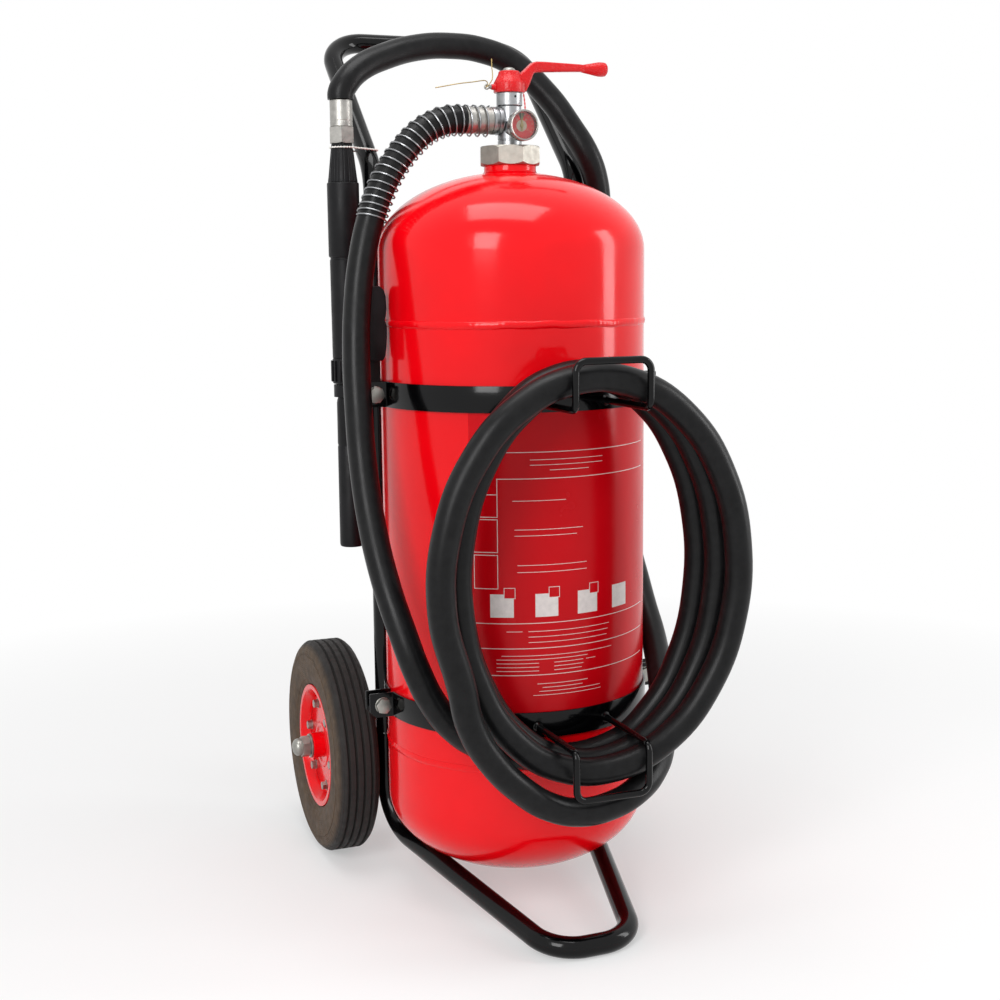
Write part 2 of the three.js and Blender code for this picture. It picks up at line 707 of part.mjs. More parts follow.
const gaugeDial = () => gaugeAt(ring(1, GAUGE_R - 1.1 - GAP, GAUGE_BACK + 1.1 + GAP, DIAL_AT, 20));

function gaugeLens() {
  return gaugeAt(disc(GAUGE_R - 1.1 - GAP, GAUGE_FRONT - 3.1, GAUGE_FRONT - 1.2 - GAP, 20));
}

// Needle on its own short arbor, pointing up at rest.
function gaugePointer() {
  const arbor = disc(0.7, GAUGE_BACK + 1.1 + GAP, DIAL_AT + 2.2, 8);
  const hub = disc(2.2, DIAL_AT + GAP, DIAL_AT + 1.8, 12);
  const needle = outline([[-1.3, -5.5], [1.3, -5.5], [0.35, 13.5], [-0.35, 13.5]]);
  const blade = raise(needle, DIAL_AT + 0.6, 0.8);
  return gaugeAt(join(arbor, hub, blade));
}

// ---------------------------------------------------------------- outlet and hose
function outletNut() {
  const [x1, x0] = OUTLET_NUT_X;
  const r = OUTLET_DROP - GAP;
  const turned = revolveRing([
    [OUTLET_BOSS_R + GAP, x0],
    [r - 0.6, x0],
    [r - 0.6, x0 + 4.6],
    [r - 2, x0 + 5],
    [r - 2, x0 + 6.6],
    [r, x0 + 7],
    [r, x1],
    [OUTLET_BOSS_R + GAP, x1],
  ], 20);
  return alongX(turned, 0, 0, OUTLET_Z).subtract(disc(VALVE_R + GAP, OUTLET_Z - 30, OUTLET_Z + 30));
}

function outletFerrule() {
  const x1 = OUTLET_NUT_X[1] - GAP;
  const x0 = x1 - FERRULE_L + GAP;
  const bottom = FERRULE_R - 1.1;
  const bead = (x) => [[FERRULE_R, x + 1.6], [bottom, x + 1], [bottom, x - 1], [FERRULE_R, x - 1.6]];
  const grooves = [0.33, 0.67].flatMap((f) => bead(x1 - f * (x1 - x0)));
  const turned = revolveRing([
    [OUTLET_BORE, x0],
    [OUTLET_BORE, x1],
    [FERRULE_R, x1],
    ...grooves,
    [FERRULE_R, x0],
  ], 16);
  return alongX(turned, 0, 0, OUTLET_Z);
}

// Wire guard wound on the ferrule and the start of the lead.
function springGuard() {
  const route = [[OUTLET_NUT_X[1] - 1.6, 0, OUTLET_Z], ...LEAD_POINTS.slice(0, 8)];
  const curve = smoothCurve(route);
  const reach = GUARD_L / curve.getLength();
  const count = GUARD_TURNS * GUARD_SIDES;
  const stations = [];
  for (let i = 0; i <= count; i += 1) {
    const u = (reach * i) / count;
    const along = curve.getTangentAt(u);
    const side = new THREE.Vector3(0, 1, 0).cross(along).normalize();
    const up = along.clone().cross(side);
    const a = (2 * Math.PI * i) / GUARD_SIDES;
    const point = curve.getPointAt(u);
    point.addScaledVector(side, GUARD_R * Math.cos(a)).addScaledVector(up, GUARD_R * Math.sin(a));
    stations.push(point);
  }
  return sweep(stations, GUARD_WIRE_R, 3);
}

// Outer form of the hung turns: an oval ring as deep as the turns side by side. The turns hang on
// the hooks, so the bore is in the middle of those.
function coilForm(clear = 0) {
  const oval = (x, w, h) => {
    const points = [];
    for (let i = 0; i < COIL_SIDES; i += 1) {
      const a = (2 * Math.PI * i) / COIL_SIDES;
      points.push([x + w * Math.cos(a), h * Math.sin(a) - COIL_Z]);
    }
    return outline(points);
  };
  const shape = oval(COIL_X, COIL_HALF_W + clear, COIL_HALF_H + clear);
  shape.holes.push(oval(HOOK_X, COIL_BORE_W - clear, COIL_BORE_H - clear));
  return raise(shape, COIL_BACK - COIL_DEPTH - clear, COIL_DEPTH + 2 * clear).rotate([-90, 0, 0]);
}

const hoseCoil = () => coilForm();
const LEAD_STEPS = 26;
const RETURN_STEPS = 42;
const leadTube = (radius) => sweep(smoothStations(LEAD_POINTS, LEAD_STEPS), radius, HOSE_SIDES);
const hoseLead = () => leadTube(HOSE_R).subtract(coilForm(2 * GAP));

function hoseReturn() {
  const tube = sweep(smoothStations(RETURN_POINTS, RETURN_STEPS), HOSE_R, HOSE_SIDES);
  return tube.subtract(coilForm(2 * GAP));
}

// ---------------------------------------------------------------- nozzle, held upright at the left
const nozzleAt = (body) => body.translate([NOZZLE_X, NOZZLE_Y, 0]);
// Heights of the nozzle's steps above the ground.
const NOZZLE_STEPS = {
  tube: 617,
  coupling: 666,
  barrel: 778,
  shoulder: 874,
  grip: 920,
  nut: 945,
  ferrule: 977,
};

const nozzleFerrule = () => nozzleAt(ring(9, 14, NOZZLE_STEPS.nut + GAP, NOZZLE_STEPS.ferrule, 20));

function nozzleNut() {
  const { grip, nut } = NOZZLE_STEPS;
  const block = raise(polygonShape(16.4, 6), grip + GAP, nut - grip - GAP);
  return nozzleAt(block.subtract(disc(8, grip - 1, nut + 1, 16)));
}

// Tapered grip with flutes down its length.
function nozzleGrip() {
  const z0 = NOZZLE_STEPS.shoulder + GAP;
  const z1 = NOZZLE_STEPS.grip;
  const body = revolveRing([[8, z0], [19, z0], [19, z0 + 4], [NOZZLE_NECK_R, z1], [8, z1]], 18);
  const flutes = [];
  for (let i = 0; i < 12; i += 1) {
    const groove = disc(1.5, 0, z1 - z0 + 10, 6).rotate([0, -7.5, 0]).translate([19.6, 0, z0 + 5]);
    flutes.push(groove.rotate([0, 0, 30 * i + 15]));
  }
  return nozzleAt(cut(body, ...flutes));
}

function nozzleBarrel() {
  const r = NOZZLE_BARREL_R;
  const { coupling, barrel, shoulder } = NOZZLE_STEPS;
  return nozzleAt(revolveRing([
    [8, coupling + GAP],
    [r - 1.5, coupling + GAP],
    [r - 1.2, barrel - 3],
    [r - 2, barrel - 2],
    [r - 2, barrel],
    [r, barrel + 1],
    [r, shoulder - 2],
    [r - 0.8, shoulder],
    [8, shoulder],
  ], 16));
}

function nozzleCoupling() {
  const { tube, coupling } = NOZZLE_STEPS;
  const z0 = tube + 18;
  const block = raise(polygonShape(21.5, 10), z0, coupling - z0);
  return nozzleAt(block.subtract(disc(8, z0 - 1, coupling + 1, 16)));
}

function nozzleTube() {
  const { tube } = NOZZLE_STEPS;
  return nozzleAt(revolveRing([
    [8, tube + 18 - GAP],
    [13, tube + 18 - GAP],
    [13, tube],
    [NOZZLE_TUBE_R - 1, tube - 3],
    [NOZZLE_TUBE_R, NOZZLE_TIP_Z + 3],
    [NOZZLE_TUBE_R - 1, NOZZLE_TIP_Z],
    [NOZZLE_TUBE_R - 3, NOZZLE_TIP_Z],
    [8, NOZZLE_TIP_Z + 60],
  ], 16));
}

// Saddle on the left upright whose sleeve takes the nozzle's neck.
function nozzleHolder() {
  const { tube } = NOZZLE_STEPS;
  const z0 = tube + 1.5;
  const z1 = tube + 16.5;
  const upright = (body) => body.translate([-UPRIGHT_X, UPRIGHT_Y, 0]);
  const clamp = upright(disc(TUBE_R + 3.5, z0, z1, 20));
  const sleeve = nozzleAt(disc(17.5, z0, z1, 20));
  const web = box(NOZZLE_X, -UPRIGHT_X, NOZZLE_Y - 6, NOZZLE_Y + 9, z0, z1);
  const tubeHole = upright(disc(TUBE_R + GAP, z0 - 1, z1 + 1, 24));
  const neckHole = nozzleAt(disc(13 + GAP, z0 - 1, z1 + 1, 20));
  return cut(join(clamp, sleeve, web), tubeHole, neckHole, disc(BAND_R + 2 * GAP, z0 - 1, z1 + 1, 60));
}

// Beaded tie that holds the grip's neck to the upright.
function nozzleTie() {
  const z = NOZZLE_STEPS.grip - 5.5;
  const reach = 2.4;
  const lean = (HANDLE_Y - UPRIGHT_Y) / (HANDLE_Z - BEND_Z);
  const [ax, ay] = [NOZZLE_X, NOZZLE_Y];
  const [bx, by] = [-UPRIGHT_X, UPRIGHT_Y + lean * (z - BEND_Z)];
  const tubeHalf = TUBE_R * Math.hypot(1, lean);
  const loop = (extra) => {
    const points = [];
    const tilt = Math.atan2(by - ay, bx - ax);
    const half = (x, y, r, from) => {
      for (let i = 0; i <= 8; i += 1) {
        const a = from + (Math.PI * i) / 8;
        points.push([x + r * Math.cos(a), y + r * Math.sin(a)]);
      }
    };
    half(ax, ay, NOZZLE_NECK_R + 1.6 + extra, tilt + Math.PI / 2);
    half(bx, by, tubeHalf + 1.4 + extra, tilt - Math.PI / 2);
    return outline(points);
  };
  const shape = loop(reach);
  shape.holes.push(loop(0));
  return raise(shape, z - reach / 2, reach);
}

// ---------------------------------------------------------------- trolley frame
function handleLoop() {
  const corners = [
    [-UPRIGHT_X, UPRIGHT_Y, SPLIT_Z + GAP],
    [-UPRIGHT_X, UPRIGHT_Y, BEND_Z],
    [-HANDLE_X, HANDLE_Y, HANDLE_Z],
    [HANDLE_X, HANDLE_Y, HANDLE_Z],
    [UPRIGHT_X, UPRIGHT_Y, BEND_Z],
    [UPRIGHT_X, UPRIGHT_Y, SPLIT_Z + GAP],
  ];
  return sweep(bentStations(corners, [BEND_R, CORNER_R, CORNER_R, BEND_R]), TUBE_R, 12, TUBE_BORE);
}

function footLoop() {
  const z = TUBE_R - FOOT_FLAT;
  const corners = [
    [-UPRIGHT_X, UPRIGHT_Y, SPLIT_Z],
    [-UPRIGHT_X, UPRIGHT_Y, FOOT_BEND_Z],
    [-FOOT_X, FOOT_Y, z],
    [FOOT_X, FOOT_Y, z],
    [UPRIGHT_X, UPRIGHT_Y, FOOT_BEND_Z],
    [UPRIGHT_X, UPRIGHT_Y, SPLIT_Z],
  ];
  const loop = sweep(bentStations(corners, [BEND_R, CORNER_R, CORNER_R, BEND_R]), TUBE_R, 12, TUBE_BORE);
  return loop.subtract(box(-200, 200, -400, 400, -20, 0));
}

// Gusset plate that carries the axle behind an upright.
function axleBracket(side) {
  const y0 = UPRIGHT_Y + TUBE_R + GAP;
  const plate = outline([
    [y0, 96],
    [y0, 205],
    [AXLE_Y - 12, WHEEL_R + 24],
    [AXLE_Y + 18, WHEEL_R + 18],
    [AXLE_Y + 18, WHEEL_R - 18],
    [AXLE_Y - 10, WHEEL_R - 24],
    [y0 + 22, 96],
  ]);
  const x = side * UPRIGHT_X;
  const body = raise(plate, -BRACKET_T / 2, BRACKET_T).rotate([90, 0, 90]).translate([x, 0, 0]);
  return body.subtract(alongX(disc(AXLE_R + GAP, -20, 20), x, AXLE_Y, WHEEL_R));
}

// Half band round the cylinder with an ear folded out at each end; front = -1, rear = +1.
function halfBand(z, facing) {
  const earIn = EAR_Y - BAND_T / 2;
  const earOut = EAR_Y + BAND_T / 2;
  const arc = (r, y0, flip) => {
    const a0 = Math.asin(y0 / r);
    const points = [];
    for (let i = 0; i <= BAND_STEPS; i += 1) {
      const a = a0 + ((Math.PI - 2 * a0) * i) / BAND_STEPS;
      points.push([r * Math.cos(a) * (flip ? -1 : 1), r * Math.sin(a)]);
    }
    return points;
  };
  const shape = outline([
    ...arc(BAND_INNER, earIn, false),
    [-EAR_TIP, earIn],
    [-EAR_TIP, earOut],
    ...arc(BAND_R, earOut, true),
    [EAR_TIP, earOut],
    [EAR_TIP, earIn],
  ]);
  let band = raise(shape, z - BAND_H / 2, BAND_H);
  for (const side of [-1, 1]) {
    band = band.subtract(alongMinusY(disc(BOLT_R + GAP, -20, 0, 16), side * BOLT_X, 0, z));
    const corner = box(-4, 4, -9, 9, -9, 9).rotate([0, 45, 0]);
    band = band.subtract(corner.translate([side * EAR_TIP, EAR_Y, z - BAND_H / 2]));
  }
  return facing < 0 ? band.rotate([0, 0, 180]) : band;
}

// Hexagon bolt through both ears, its head at the front.
function bandBolt(side, z) {
  const face = EAR_Y + BAND_T / 2 + GAP;
  const head = raise(polygonShape(BOLT_AF / Math.sqrt(3), 6), face, 6.4);
  const shank = disc(BOLT_R, -face - 11, face + 1, 10);
  return alongMinusY(join(head, shank), side * BOLT_X, 0, z);
}

function bandNut(side, z) {
  const face = EAR_Y + BAND_T / 2 + GAP;
  const nut = raise(polygonShape(BOLT_AF / Math.sqrt(3), 6), -face - 8, 8);
  return alongMinusY(nut.subtract(disc(BOLT_R + GAP, -40, 0, 10)), side * BOLT_X, 0, z);
}

// Bent rod on the band: two arms forward and a front bar that hangs down or stands up.
function hoseHook(z, lip) {
  const x = HOOK_HALF_W;
  const weld = -Math.sqrt(BAND_R ** 2 - (x - HOOK_ROD_R) ** 2) - GAP;
  const front = -(BAND_R + HOOK_DEPTH);
  const corners = [
    [-x, weld, z],
    [-x, front, z],
    [-x, front, z + lip],
    [x, front, z + lip],
    [x, front, z],
    [x, weld, z],
  ];
  const rod = sweep(bentStations(corners, [10, 12, 12, 10], 2), HOOK_ROD_R, 8);
  return rod.translate([HOOK_X, 0, 0]).subtract(disc(BAND_R + GAP, z - 60, z + 60, 60));
}

// Moulded block between the cylinder and the lead, on a strip bolted to the left ear.
function hoseClip() {
  const z = BAND_Z[1];
  const x = -CYL_R;
  const lobes = outline([
    [x - 29, z + 40],
    [x - 9, z + 40],
    [x - 6, z + 48],
    [x - 4, z + 78],
    [x - 6, z + 87],
    [x - 4, z + 91],
    [x - 5, z + 118],
    [x - 11, z + 126],
    [x - 29, z + 126],
  ]);
  const block = raise(lobes, 4, 18, 1.5).rotate([90, 0, 0]);
  const face = -EAR_Y + BAND_T / 2 + GAP;
  const strip = box(-BOLT_X - 7, -BOLT_X + 7, face, face + 2.5, z - 12, z + 60);
  const bolt = alongMinusY(disc(BOLT_R + GAP, -20, 20, 16), -BOLT_X, 0, z);
  const hose = leadTube(HOSE_R + 2 * GAP);
  return cut(join(block, strip), bolt, hose, disc(CYL_R + SEAM_BEAD + GAP, z, z + 140, 40));
}

// ---------------------------------------------------------------- running gear
function axle() {
  const end = WHEEL_X + HUB_HALF + 18;
  return alongX(disc(AXLE_R, -end, end, 16), 0, AXLE_Y, WHEEL_R);
}

const wheelAt = (body, side) => (side < 0 ? body.rotate([0, 180, 0]) : body)
  .rotate([0, 90, 0])
  .translate([side * WHEEL_X, AXLE_Y, WHEEL_R]);

// Solid rubber tyre with round tread grooves, sides bulging over the rim.
function tyre(side) {
  const sides = 24;
  const w = TYRE_W / 2;
  const flatR = WHEEL_R / Math.cos(Math.PI / sides);
  const seatR = (RIM_R + GAP) / Math.cos(Math.PI / sides);
  const grooves = [-15, -5, 5, 15].flatMap((u) => [
    [flatR, u - 1.7],
    [flatR - 3.5, u],
    [flatR, u + 1.7],
  ]);
  const section = [
    [seatR, -w + 6],
    [RIM_R + 32, -w],
    [flatR - 8, -w + 3],
    [flatR - 1.5, -w + 8],
    ...grooves,
    [flatR - 1.5, w - 8],
    [flatR - 8, w - 3],
    [RIM_R + 32, w],
    [seatR, w - 6],
  ];
  return wheelAt(revolveRing(section, sides, Math.PI / 2 - Math.PI / sides), side);
}

// Pressed rim half; the outer one has the bolt heads, the inner one is welded to the hub tube.
function rimHalf(side, outer) {
  const s = outer ? 1 : -1;
  const w = TYRE_W / 2;
  const face = s * (GAP / 2 + 0.2);
  const points = [
    [HUB_TUBE_R + GAP, face],
    [RIM_R - 14, face],
    [RIM_R - 9, s * 4],
    [RIM_R - 6, s * (w - 9)],
    [RIM_R, s * (w - 7)],
    [RIM_R - 1, s * (w - 4.5)],
    [RIM_R - 6 - RIM_WALL, s * (w - 6)],
    [RIM_R - 9 - RIM_WALL, s * 6],
    [RIM_R - 14 - RIM_WALL, face + s * RIM_WALL],
    [HUB_TUBE_R + GAP, face + s * RIM_WALL],
  ];
  let half = revolveRing(points, 22);
  if (!outer) {
    const weld = ring(HUB_TUBE_R - 1, HUB_TUBE_R + 2, face - RIM_WALL, face, 16);
    half = join(half, ring(AXLE_R + GAP, HUB_TUBE_R, -HUB_HALF, HUB_HALF, 16), weld);
  }
  for (let i = 0; outer && i < RIM_BOLTS; i += 1) {
    const a = (2 * Math.PI * (i + 0.5)) / RIM_BOLTS;
    const at = [RIM_BOLT_RING * Math.cos(a), RIM_BOLT_RING * Math.sin(a), 0];
    half = half.add(disc(5.6, face + RIM_WALL - 0.5, face + RIM_WALL + 7, 6).translate(at));
  }
  return wheelAt(half, side);
}

// Domed nut with its washer on the axle's end.
function hubNut(side) {
  const z0 = HUB_HALF + GAP;
  const bore = AXLE_R + GAP;
  const domeR = bore + 1.3;
  const washer = ring(bore, bore + 5.7, z0, z0 + 2.5, 16);
  const block = raise(polygonShape(bore + 4.2, 6), z0 + 2, 12);
  const crown = revolve([
    [0, z0 + 13],
    [domeR, z0 + 13],
    [domeR, z0 + 18.5],
    [domeR - 0.6, z0 + 21],
    [domeR - 4.6, z0 + 24],
    [0, z0 + 25.2],
  ], 16);
  const hole = disc(bore, z0 - 1, z0 + 18.5, 16);
  return wheelAt(cut(join(washer, block, crown), hole), side);
}

// Spacer sleeve on the axle between a bracket and its wheel.
function axleSpacer(side) {
  const x0 = UPRIGHT_X + BRACKET_T / 2 + GAP;
  const x1 = WHEEL_X - HUB_HALF - GAP;
  const sleeve = ring(AXLE_R + GAP, AXLE_R + 5, x0, x1, 16);
  return alongX(side < 0 ? sleeve.rotate([0, 180, 0]) : sleeve, 0, AXLE_Y, WHEEL_R);
}

// ---------------------------------------------------------------- assembly
const extinguisher = new THREE.Group();

function place(group, name, body, material) {
  const mesh = new THREE.Mesh(geometryOf(body), material);
  mesh.name = name;
  group.add(mesh);
}

function subassembly(parts) {
  const group = new THREE.Group();
  for (const [name, body, material] of parts) place(group, name, body, material);
  extinguisher.add(group);
}

subassembly([
  ["cylinder_shell", cylinderShell(), RED],
  ["dip_tube", dipTube(), STEEL],
  ["neck_seal", neckSeal(), RUBBER],
  ["collar_nut", collarNut(), ALUMINIUM],
]);
subassembly([
  ["valve_body", valveBody(), ALUMINIUM],
  ["valve_bonnet", valveBonnet(), ALUMINIUM],
  ["valve_stem", valveStem(), BRASS],
  ["valve_spring", valveSpring(), STEEL],
  ["valve_handle", valveHandle(), RED],
  ["handle_screw", handleScrew(), STEEL],
  ["safety_pin", safetyPin(), STEEL],
]);
subassembly([
  ["gauge_case", gaugeCase(), STEEL],
  ["gauge_dial", gaugeDial(), WHITE],
  ["gauge_pointer", gaugePointer(), BLACK],
  ["gauge_lens", gaugeLens(), CLEAR],
]);
subassembly([
  ["outlet_nut", outletNut(), STEEL],
  ["outlet_ferrule", outletFerrule(), STEEL],
  ["spring_guard", springGuard(), STEEL],
  ["hose_lead", hoseLead(), RUBBER],
  ["hose_coil", hoseCoil(), RUBBER],
  ["hose_return", hoseReturn(), RUBBER],
]);
subassembly([
  ["nozzle_ferrule", nozzleFerrule(), ALUMINIUM],
  ["nozzle_nut", nozzleNut(), STEEL],
  ["nozzle_grip", nozzleGrip(), MOULDED],
  ["nozzle_barrel", nozzleBarrel(), MOULDED],
  ["nozzle_coupling", nozzleCoupling(), MOULDED],
  ["nozzle_tube", nozzleTube(), MOULDED],
  ["nozzle_holder", nozzleHolder(), BLACK],
  ["nozzle_tie", nozzleTie(), WHITE],
]);
subassembly([
  ["handle_loop", handleLoop(), BLACK],
  ["foot_loop", footLoop(), BLACK],
  ["axle_bracket_left", axleBracket(-1), BLACK],
  ["axle_bracket_right", axleBracket(1), BLACK],
  ["hose_clip", hoseClip(), MOULDED],
]);
for (const [level, i, hookZ] of [["lower", 0, BAND_Z[0] - 1], ["upper", 1, HOOK_TOP_Z]]) {
  const z = BAND_Z[i];
  subassembly([
    [`${level}_band_front`, halfBand(z, -1), BLACK],
    [`${level}_band_rear`, halfBand(z, 1), BLACK],
    [`${level}_hose_hook`, hoseHook(hookZ, HOOK_LIP[i]), BLACK],
    [`${level}_bolt_left`, bandBolt(-1, z), STEEL],
    [`${level}_bolt_right`, bandBolt(1, z), STEEL],
    [`${level}_nut_left`, bandNut(-1, z), STEEL],
    [`${level}_nut_right`, bandNut(1, z), STEEL],
  ]);
}
subassembly([["axle", axle(), STEEL]]);
for (const [name, side] of [["left", -1], ["right", 1]]) {
  subassembly([
    [`tyre_${name}`, tyre(side), TYRE_RUBBER],
    [`rim_outer_${name}`, rimHalf(side, true), RED],
    [`rim_inner_${name}`, rimHalf(side, false), RED],
    [`hub_nut_${name}`, hubNut(side), STEEL],
    [`axle_spacer_${name}`, axleSpacer(side), STEEL],
  ]);
}

extinguisher.position.y = -MID_Y;
export default extinguisher;
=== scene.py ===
from functools import wraps
from math import asin, atan2, ceil, cos, pi, radians, sin, tan

import bmesh
import bpy
from bpy.props import FloatProperty, FloatVectorProperty, IntProperty, PointerProperty
from mathutils import Matrix, Vector, noise


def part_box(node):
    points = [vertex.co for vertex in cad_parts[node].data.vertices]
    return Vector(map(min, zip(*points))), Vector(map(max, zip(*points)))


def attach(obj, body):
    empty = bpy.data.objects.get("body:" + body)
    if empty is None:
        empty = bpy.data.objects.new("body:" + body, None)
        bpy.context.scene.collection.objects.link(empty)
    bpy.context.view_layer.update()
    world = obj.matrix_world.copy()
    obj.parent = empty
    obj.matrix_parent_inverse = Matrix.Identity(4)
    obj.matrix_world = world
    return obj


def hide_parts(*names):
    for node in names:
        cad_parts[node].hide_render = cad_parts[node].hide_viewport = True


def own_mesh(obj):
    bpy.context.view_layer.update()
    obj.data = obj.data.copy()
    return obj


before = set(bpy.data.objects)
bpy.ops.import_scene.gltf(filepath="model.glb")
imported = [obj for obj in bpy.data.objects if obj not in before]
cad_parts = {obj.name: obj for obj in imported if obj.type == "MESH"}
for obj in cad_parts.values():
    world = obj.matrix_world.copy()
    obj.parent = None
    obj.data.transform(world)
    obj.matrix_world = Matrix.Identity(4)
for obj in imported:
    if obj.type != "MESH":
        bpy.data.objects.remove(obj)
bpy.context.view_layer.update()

bl_info = {
    "name": "Wheeled Fire Extinguisher",
    "version": (1, 0, 0),
    "blender": (4, 5, 0),
    "location": "3D View > Sidebar > Extinguisher",
    "description": "Pressure cylinder on a two-wheeled trolley, with its valve, hose and nozzle",
    "category": "Object",
}

# Shapes are drawn in millimetres round the cylinder's axis, with the ground at z = 0.
MM = 0.001
SHELL_LOW, SHELL_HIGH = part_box("cylinder_shell")
AXIS_Y = (SHELL_LOW[1] + SHELL_HIGH[1]) / 2
TO_FRAME = Matrix.Translation((0, AXIS_Y, 0)) @ Matrix.Scale(MM, 4)

# Heights and places that several pieces share.
LOWER_HEAD_Z, UPPER_HEAD_Z, HEAD_H = 127, 795, 92
WELD_Z = (198, 711)
BAND_Z = (253, 629)
AXLE_Y, AXLE_Z = 212, 141
WHEEL_X = 182
UPRIGHT_X, UPRIGHT_Y = 136, 112.5
CAP_Z, PIN_Z, LEVER_Z = 978.9, 985.1, 1010.9
GAUGE_Z, OUTLET_Z = 937.8, 946.3
NOZZLE_X, NOZZLE_Y = -176, 108
HANDS = (("left", -1), ("right", 1))
# Facets round the cylinder, the widest step of a sheet on it, and a Wave texture's own spacing.
SHELL_STEPS = 160
WRAP_STEP = radians(1.3)
WAVE_SCALE = 0.314


def mm(metres):
    """Metres in millimetres."""
    return metres / MM


def linear(code):
    """An sRGB hex code as the linear colour that Blender works with."""
    channels = [int(code[i:i + 2], 16) / 255 for i in (0, 2, 4)]
    return [c / 12.92 if c <= 0.04045 else ((c + 0.055) / 1.055) ** 2.4 for c in channels]


def rgba(colour):
    return (*colour, 1)


# ------------------------------------------------------------ sizes and colours
def length(name, text, value):
    return FloatProperty(name=name, description=text, default=value, min=0, unit="LENGTH")


def colour(name, text, code):
    return FloatVectorProperty(
        name=name, description=text, default=linear(code), min=0, max=1, subtype="COLOR"
    )


class StageSettings(bpy.types.PropertyGroup):
    lens: FloatProperty(
        name="Lens", description="Focal length of the camera", default=54, unit="CAMERA",
    )
    distance: length("Distance", "From the cylinder's axis to the camera, level", 1.83)
    height: length("Height", "Height of the camera above the floor", 0.771)
    azimuth: FloatProperty(
        name="Azimuth", description="How far left of the front the camera stands",
        default=radians(22), subtype="ANGLE",
    )
    floor: colour("Floor", "Colour of the floor", "f4f4f4")
    key: FloatProperty(
        name="Key light", description="Power of the large soft light", default=41, unit="POWER",
    )


class HoseSettings(bpy.types.PropertyGroup):
    diameter: length("Diameter", "Outside diameter of the discharge hose", 0.032)
    guard_wire: length("Guard wire", "Diameter of the guard's wire", 0.002)
    guard_turns: IntProperty(
        name="Guard turns", description="Turns of the wire guard", default=22, min=4,
    )
    rubber: colour("Rubber", "Colour of the hose's cover", "0b0b0c")


class CylinderSettings(bpy.types.PropertyGroup):
    radius: length("Radius", "Outside radius of the pressure cylinder", 0.16)
    wall: length("Wall", "Thickness of the cylinder's sheet", 0.003)
    neck_radius: length("Neck radius", "Outside radius of the neck boss", 0.031)
    weld: length("Weld height", "How far a girth weld stands proud", 0.0012)
    paint: colour("Paint", "Colour of the red enamel", "f00310")


class LabelSettings(bpy.types.PropertyGroup):
    low: length("Lower edge", "Height of the label's lower edge", 0.257)
    high: length("Upper edge", "Height of the label's upper edge", 0.619)
    film: colour("Film", "Colour of the label's film", "cc0211")
    ink: colour("Ink", "Colour of the rules and the blank squares", "e9dfdc")


class TrolleySettings(bpy.types.PropertyGroup):
    tube: length("Tube", "Outside diameter of the trolley's tube", 0.025)
    band_height: length("Band height", "Height of a clamp band", 0.03)
    band_thickness: length("Band thickness", "Thickness of a clamp band", 0.0024)
    rod: length("Hook rod", "Diameter of the hooks' rod", 0.008)
    paint: colour("Paint", "Colour of the black enamel", "040405")


class WheelSettings(bpy.types.PropertyGroup):
    radius: length("Radius", "Radius of a wheel over its tread", 0.141)
    width: length("Width", "Width of a tyre", 0.058)
    tread: colour("Tread", "Colour of the tread's rubber", "1f1f20")
    side: colour("Sidewall", "Colour of the sidewall's rubber", "5b4a3a")


class ValveSettings(bpy.types.PropertyGroup):
    barrel: length("Barrel radius", "Radius of the valve's barrel", 0.0142)
    cap: length("Cap radius", "Radius of the cast cap", 0.0186)
    gauge: length("Gauge radius", "Radius of the pressure gauge's case", 0.0178)
    metal: colour("Metal", "Colour of the machined aluminium", "a9abad")
    dial: colour("Dial", "Colour of the dial's outer part", "e52a2c")


class NozzleSettings(bpy.types.PropertyGroup):
    barrel: length("Barrel radius", "Radius of the nozzle's barrel", 0.0195)
    tube: length("Tube radius", "Radius of the nozzle's outlet tube", 0.015)
    plastic: colour("Plastic", "Colour of the moulded nozzle", "0d0d0f")


# ------------------------------------------------------------ drawing
def drawn(points, closed=False):
    """A bmesh that holds a line through points."""
    bm = bmesh.new()
    verts = [bm.verts.new(p) for p in points]
    for a, b in zip(verts, verts[1:]):
        bm.edges.new((a, b))
    if closed:
        bm.edges.new((verts[-1], verts[0]))
    return bm


# How a shape that is drawn along its height is stood along another axis.
STOOD = {
    "Z": Matrix.Identity(4),
    "X": Matrix.Rotation(pi / 2, 4, "Y"),
    "-X": Matrix.Rotation(-pi / 2, 4, "Y"),
    "-Y": Matrix.Rotation(pi / 2, 4, "X"),
}


def moved(bm, centre=(0, 0, 0), axis="Z", about=0):
    """bm turned about its own height, stood along axis and moved to centre."""
    place = Matrix.Translation(centre) @ STOOD[axis] @ Matrix.Rotation(about, 4, "Z")
    bmesh.ops.transform(bm, matrix=place, verts=bm.verts)
    return bm


def turned(bm, angle, axis="Z"):
    """bm turned about an axis through the origin."""
    bmesh.ops.rotate(bm, verts=bm.verts, matrix=Matrix.Rotation(angle, 3, axis))
    return bm


def spun(bm, angle, steps, whole=False):
    """The surface that a line sweeps as it turns about the height; a whole turn joins up."""
    bmesh.ops.spin(
        bm, geom=bm.verts[:] + bm.edges[:], cent=(0, 0, 0), axis=(0, 0, 1),
        angle=angle, steps=steps, use_merge=whole, use_duplicate=False,
    )
    return bm


def faced(bm):
    """bm with its faces turned outwards."""
    bmesh.ops.recalc_face_normals(bm, faces=bm.faces)
    return bm


def filled(bm, sides=0):
    """bm with its open rims closed, those of up to that many sides, or all of them for 0."""
    bmesh.ops.holes_fill(bm, edges=[e for e in bm.edges if e.is_boundary], sides=sides)
    return bm


def sliced(bm, place, normal):
    """bm without what lies beyond a plane, and closed where it was cut."""
    bmesh.ops.bisect_plane(
        bm, geom=bm.verts[:] + bm.edges[:] + bm.faces[:], dist=1e-4,
        plane_co=place, plane_no=normal, clear_outer=True,
    )
    return filled(bm)


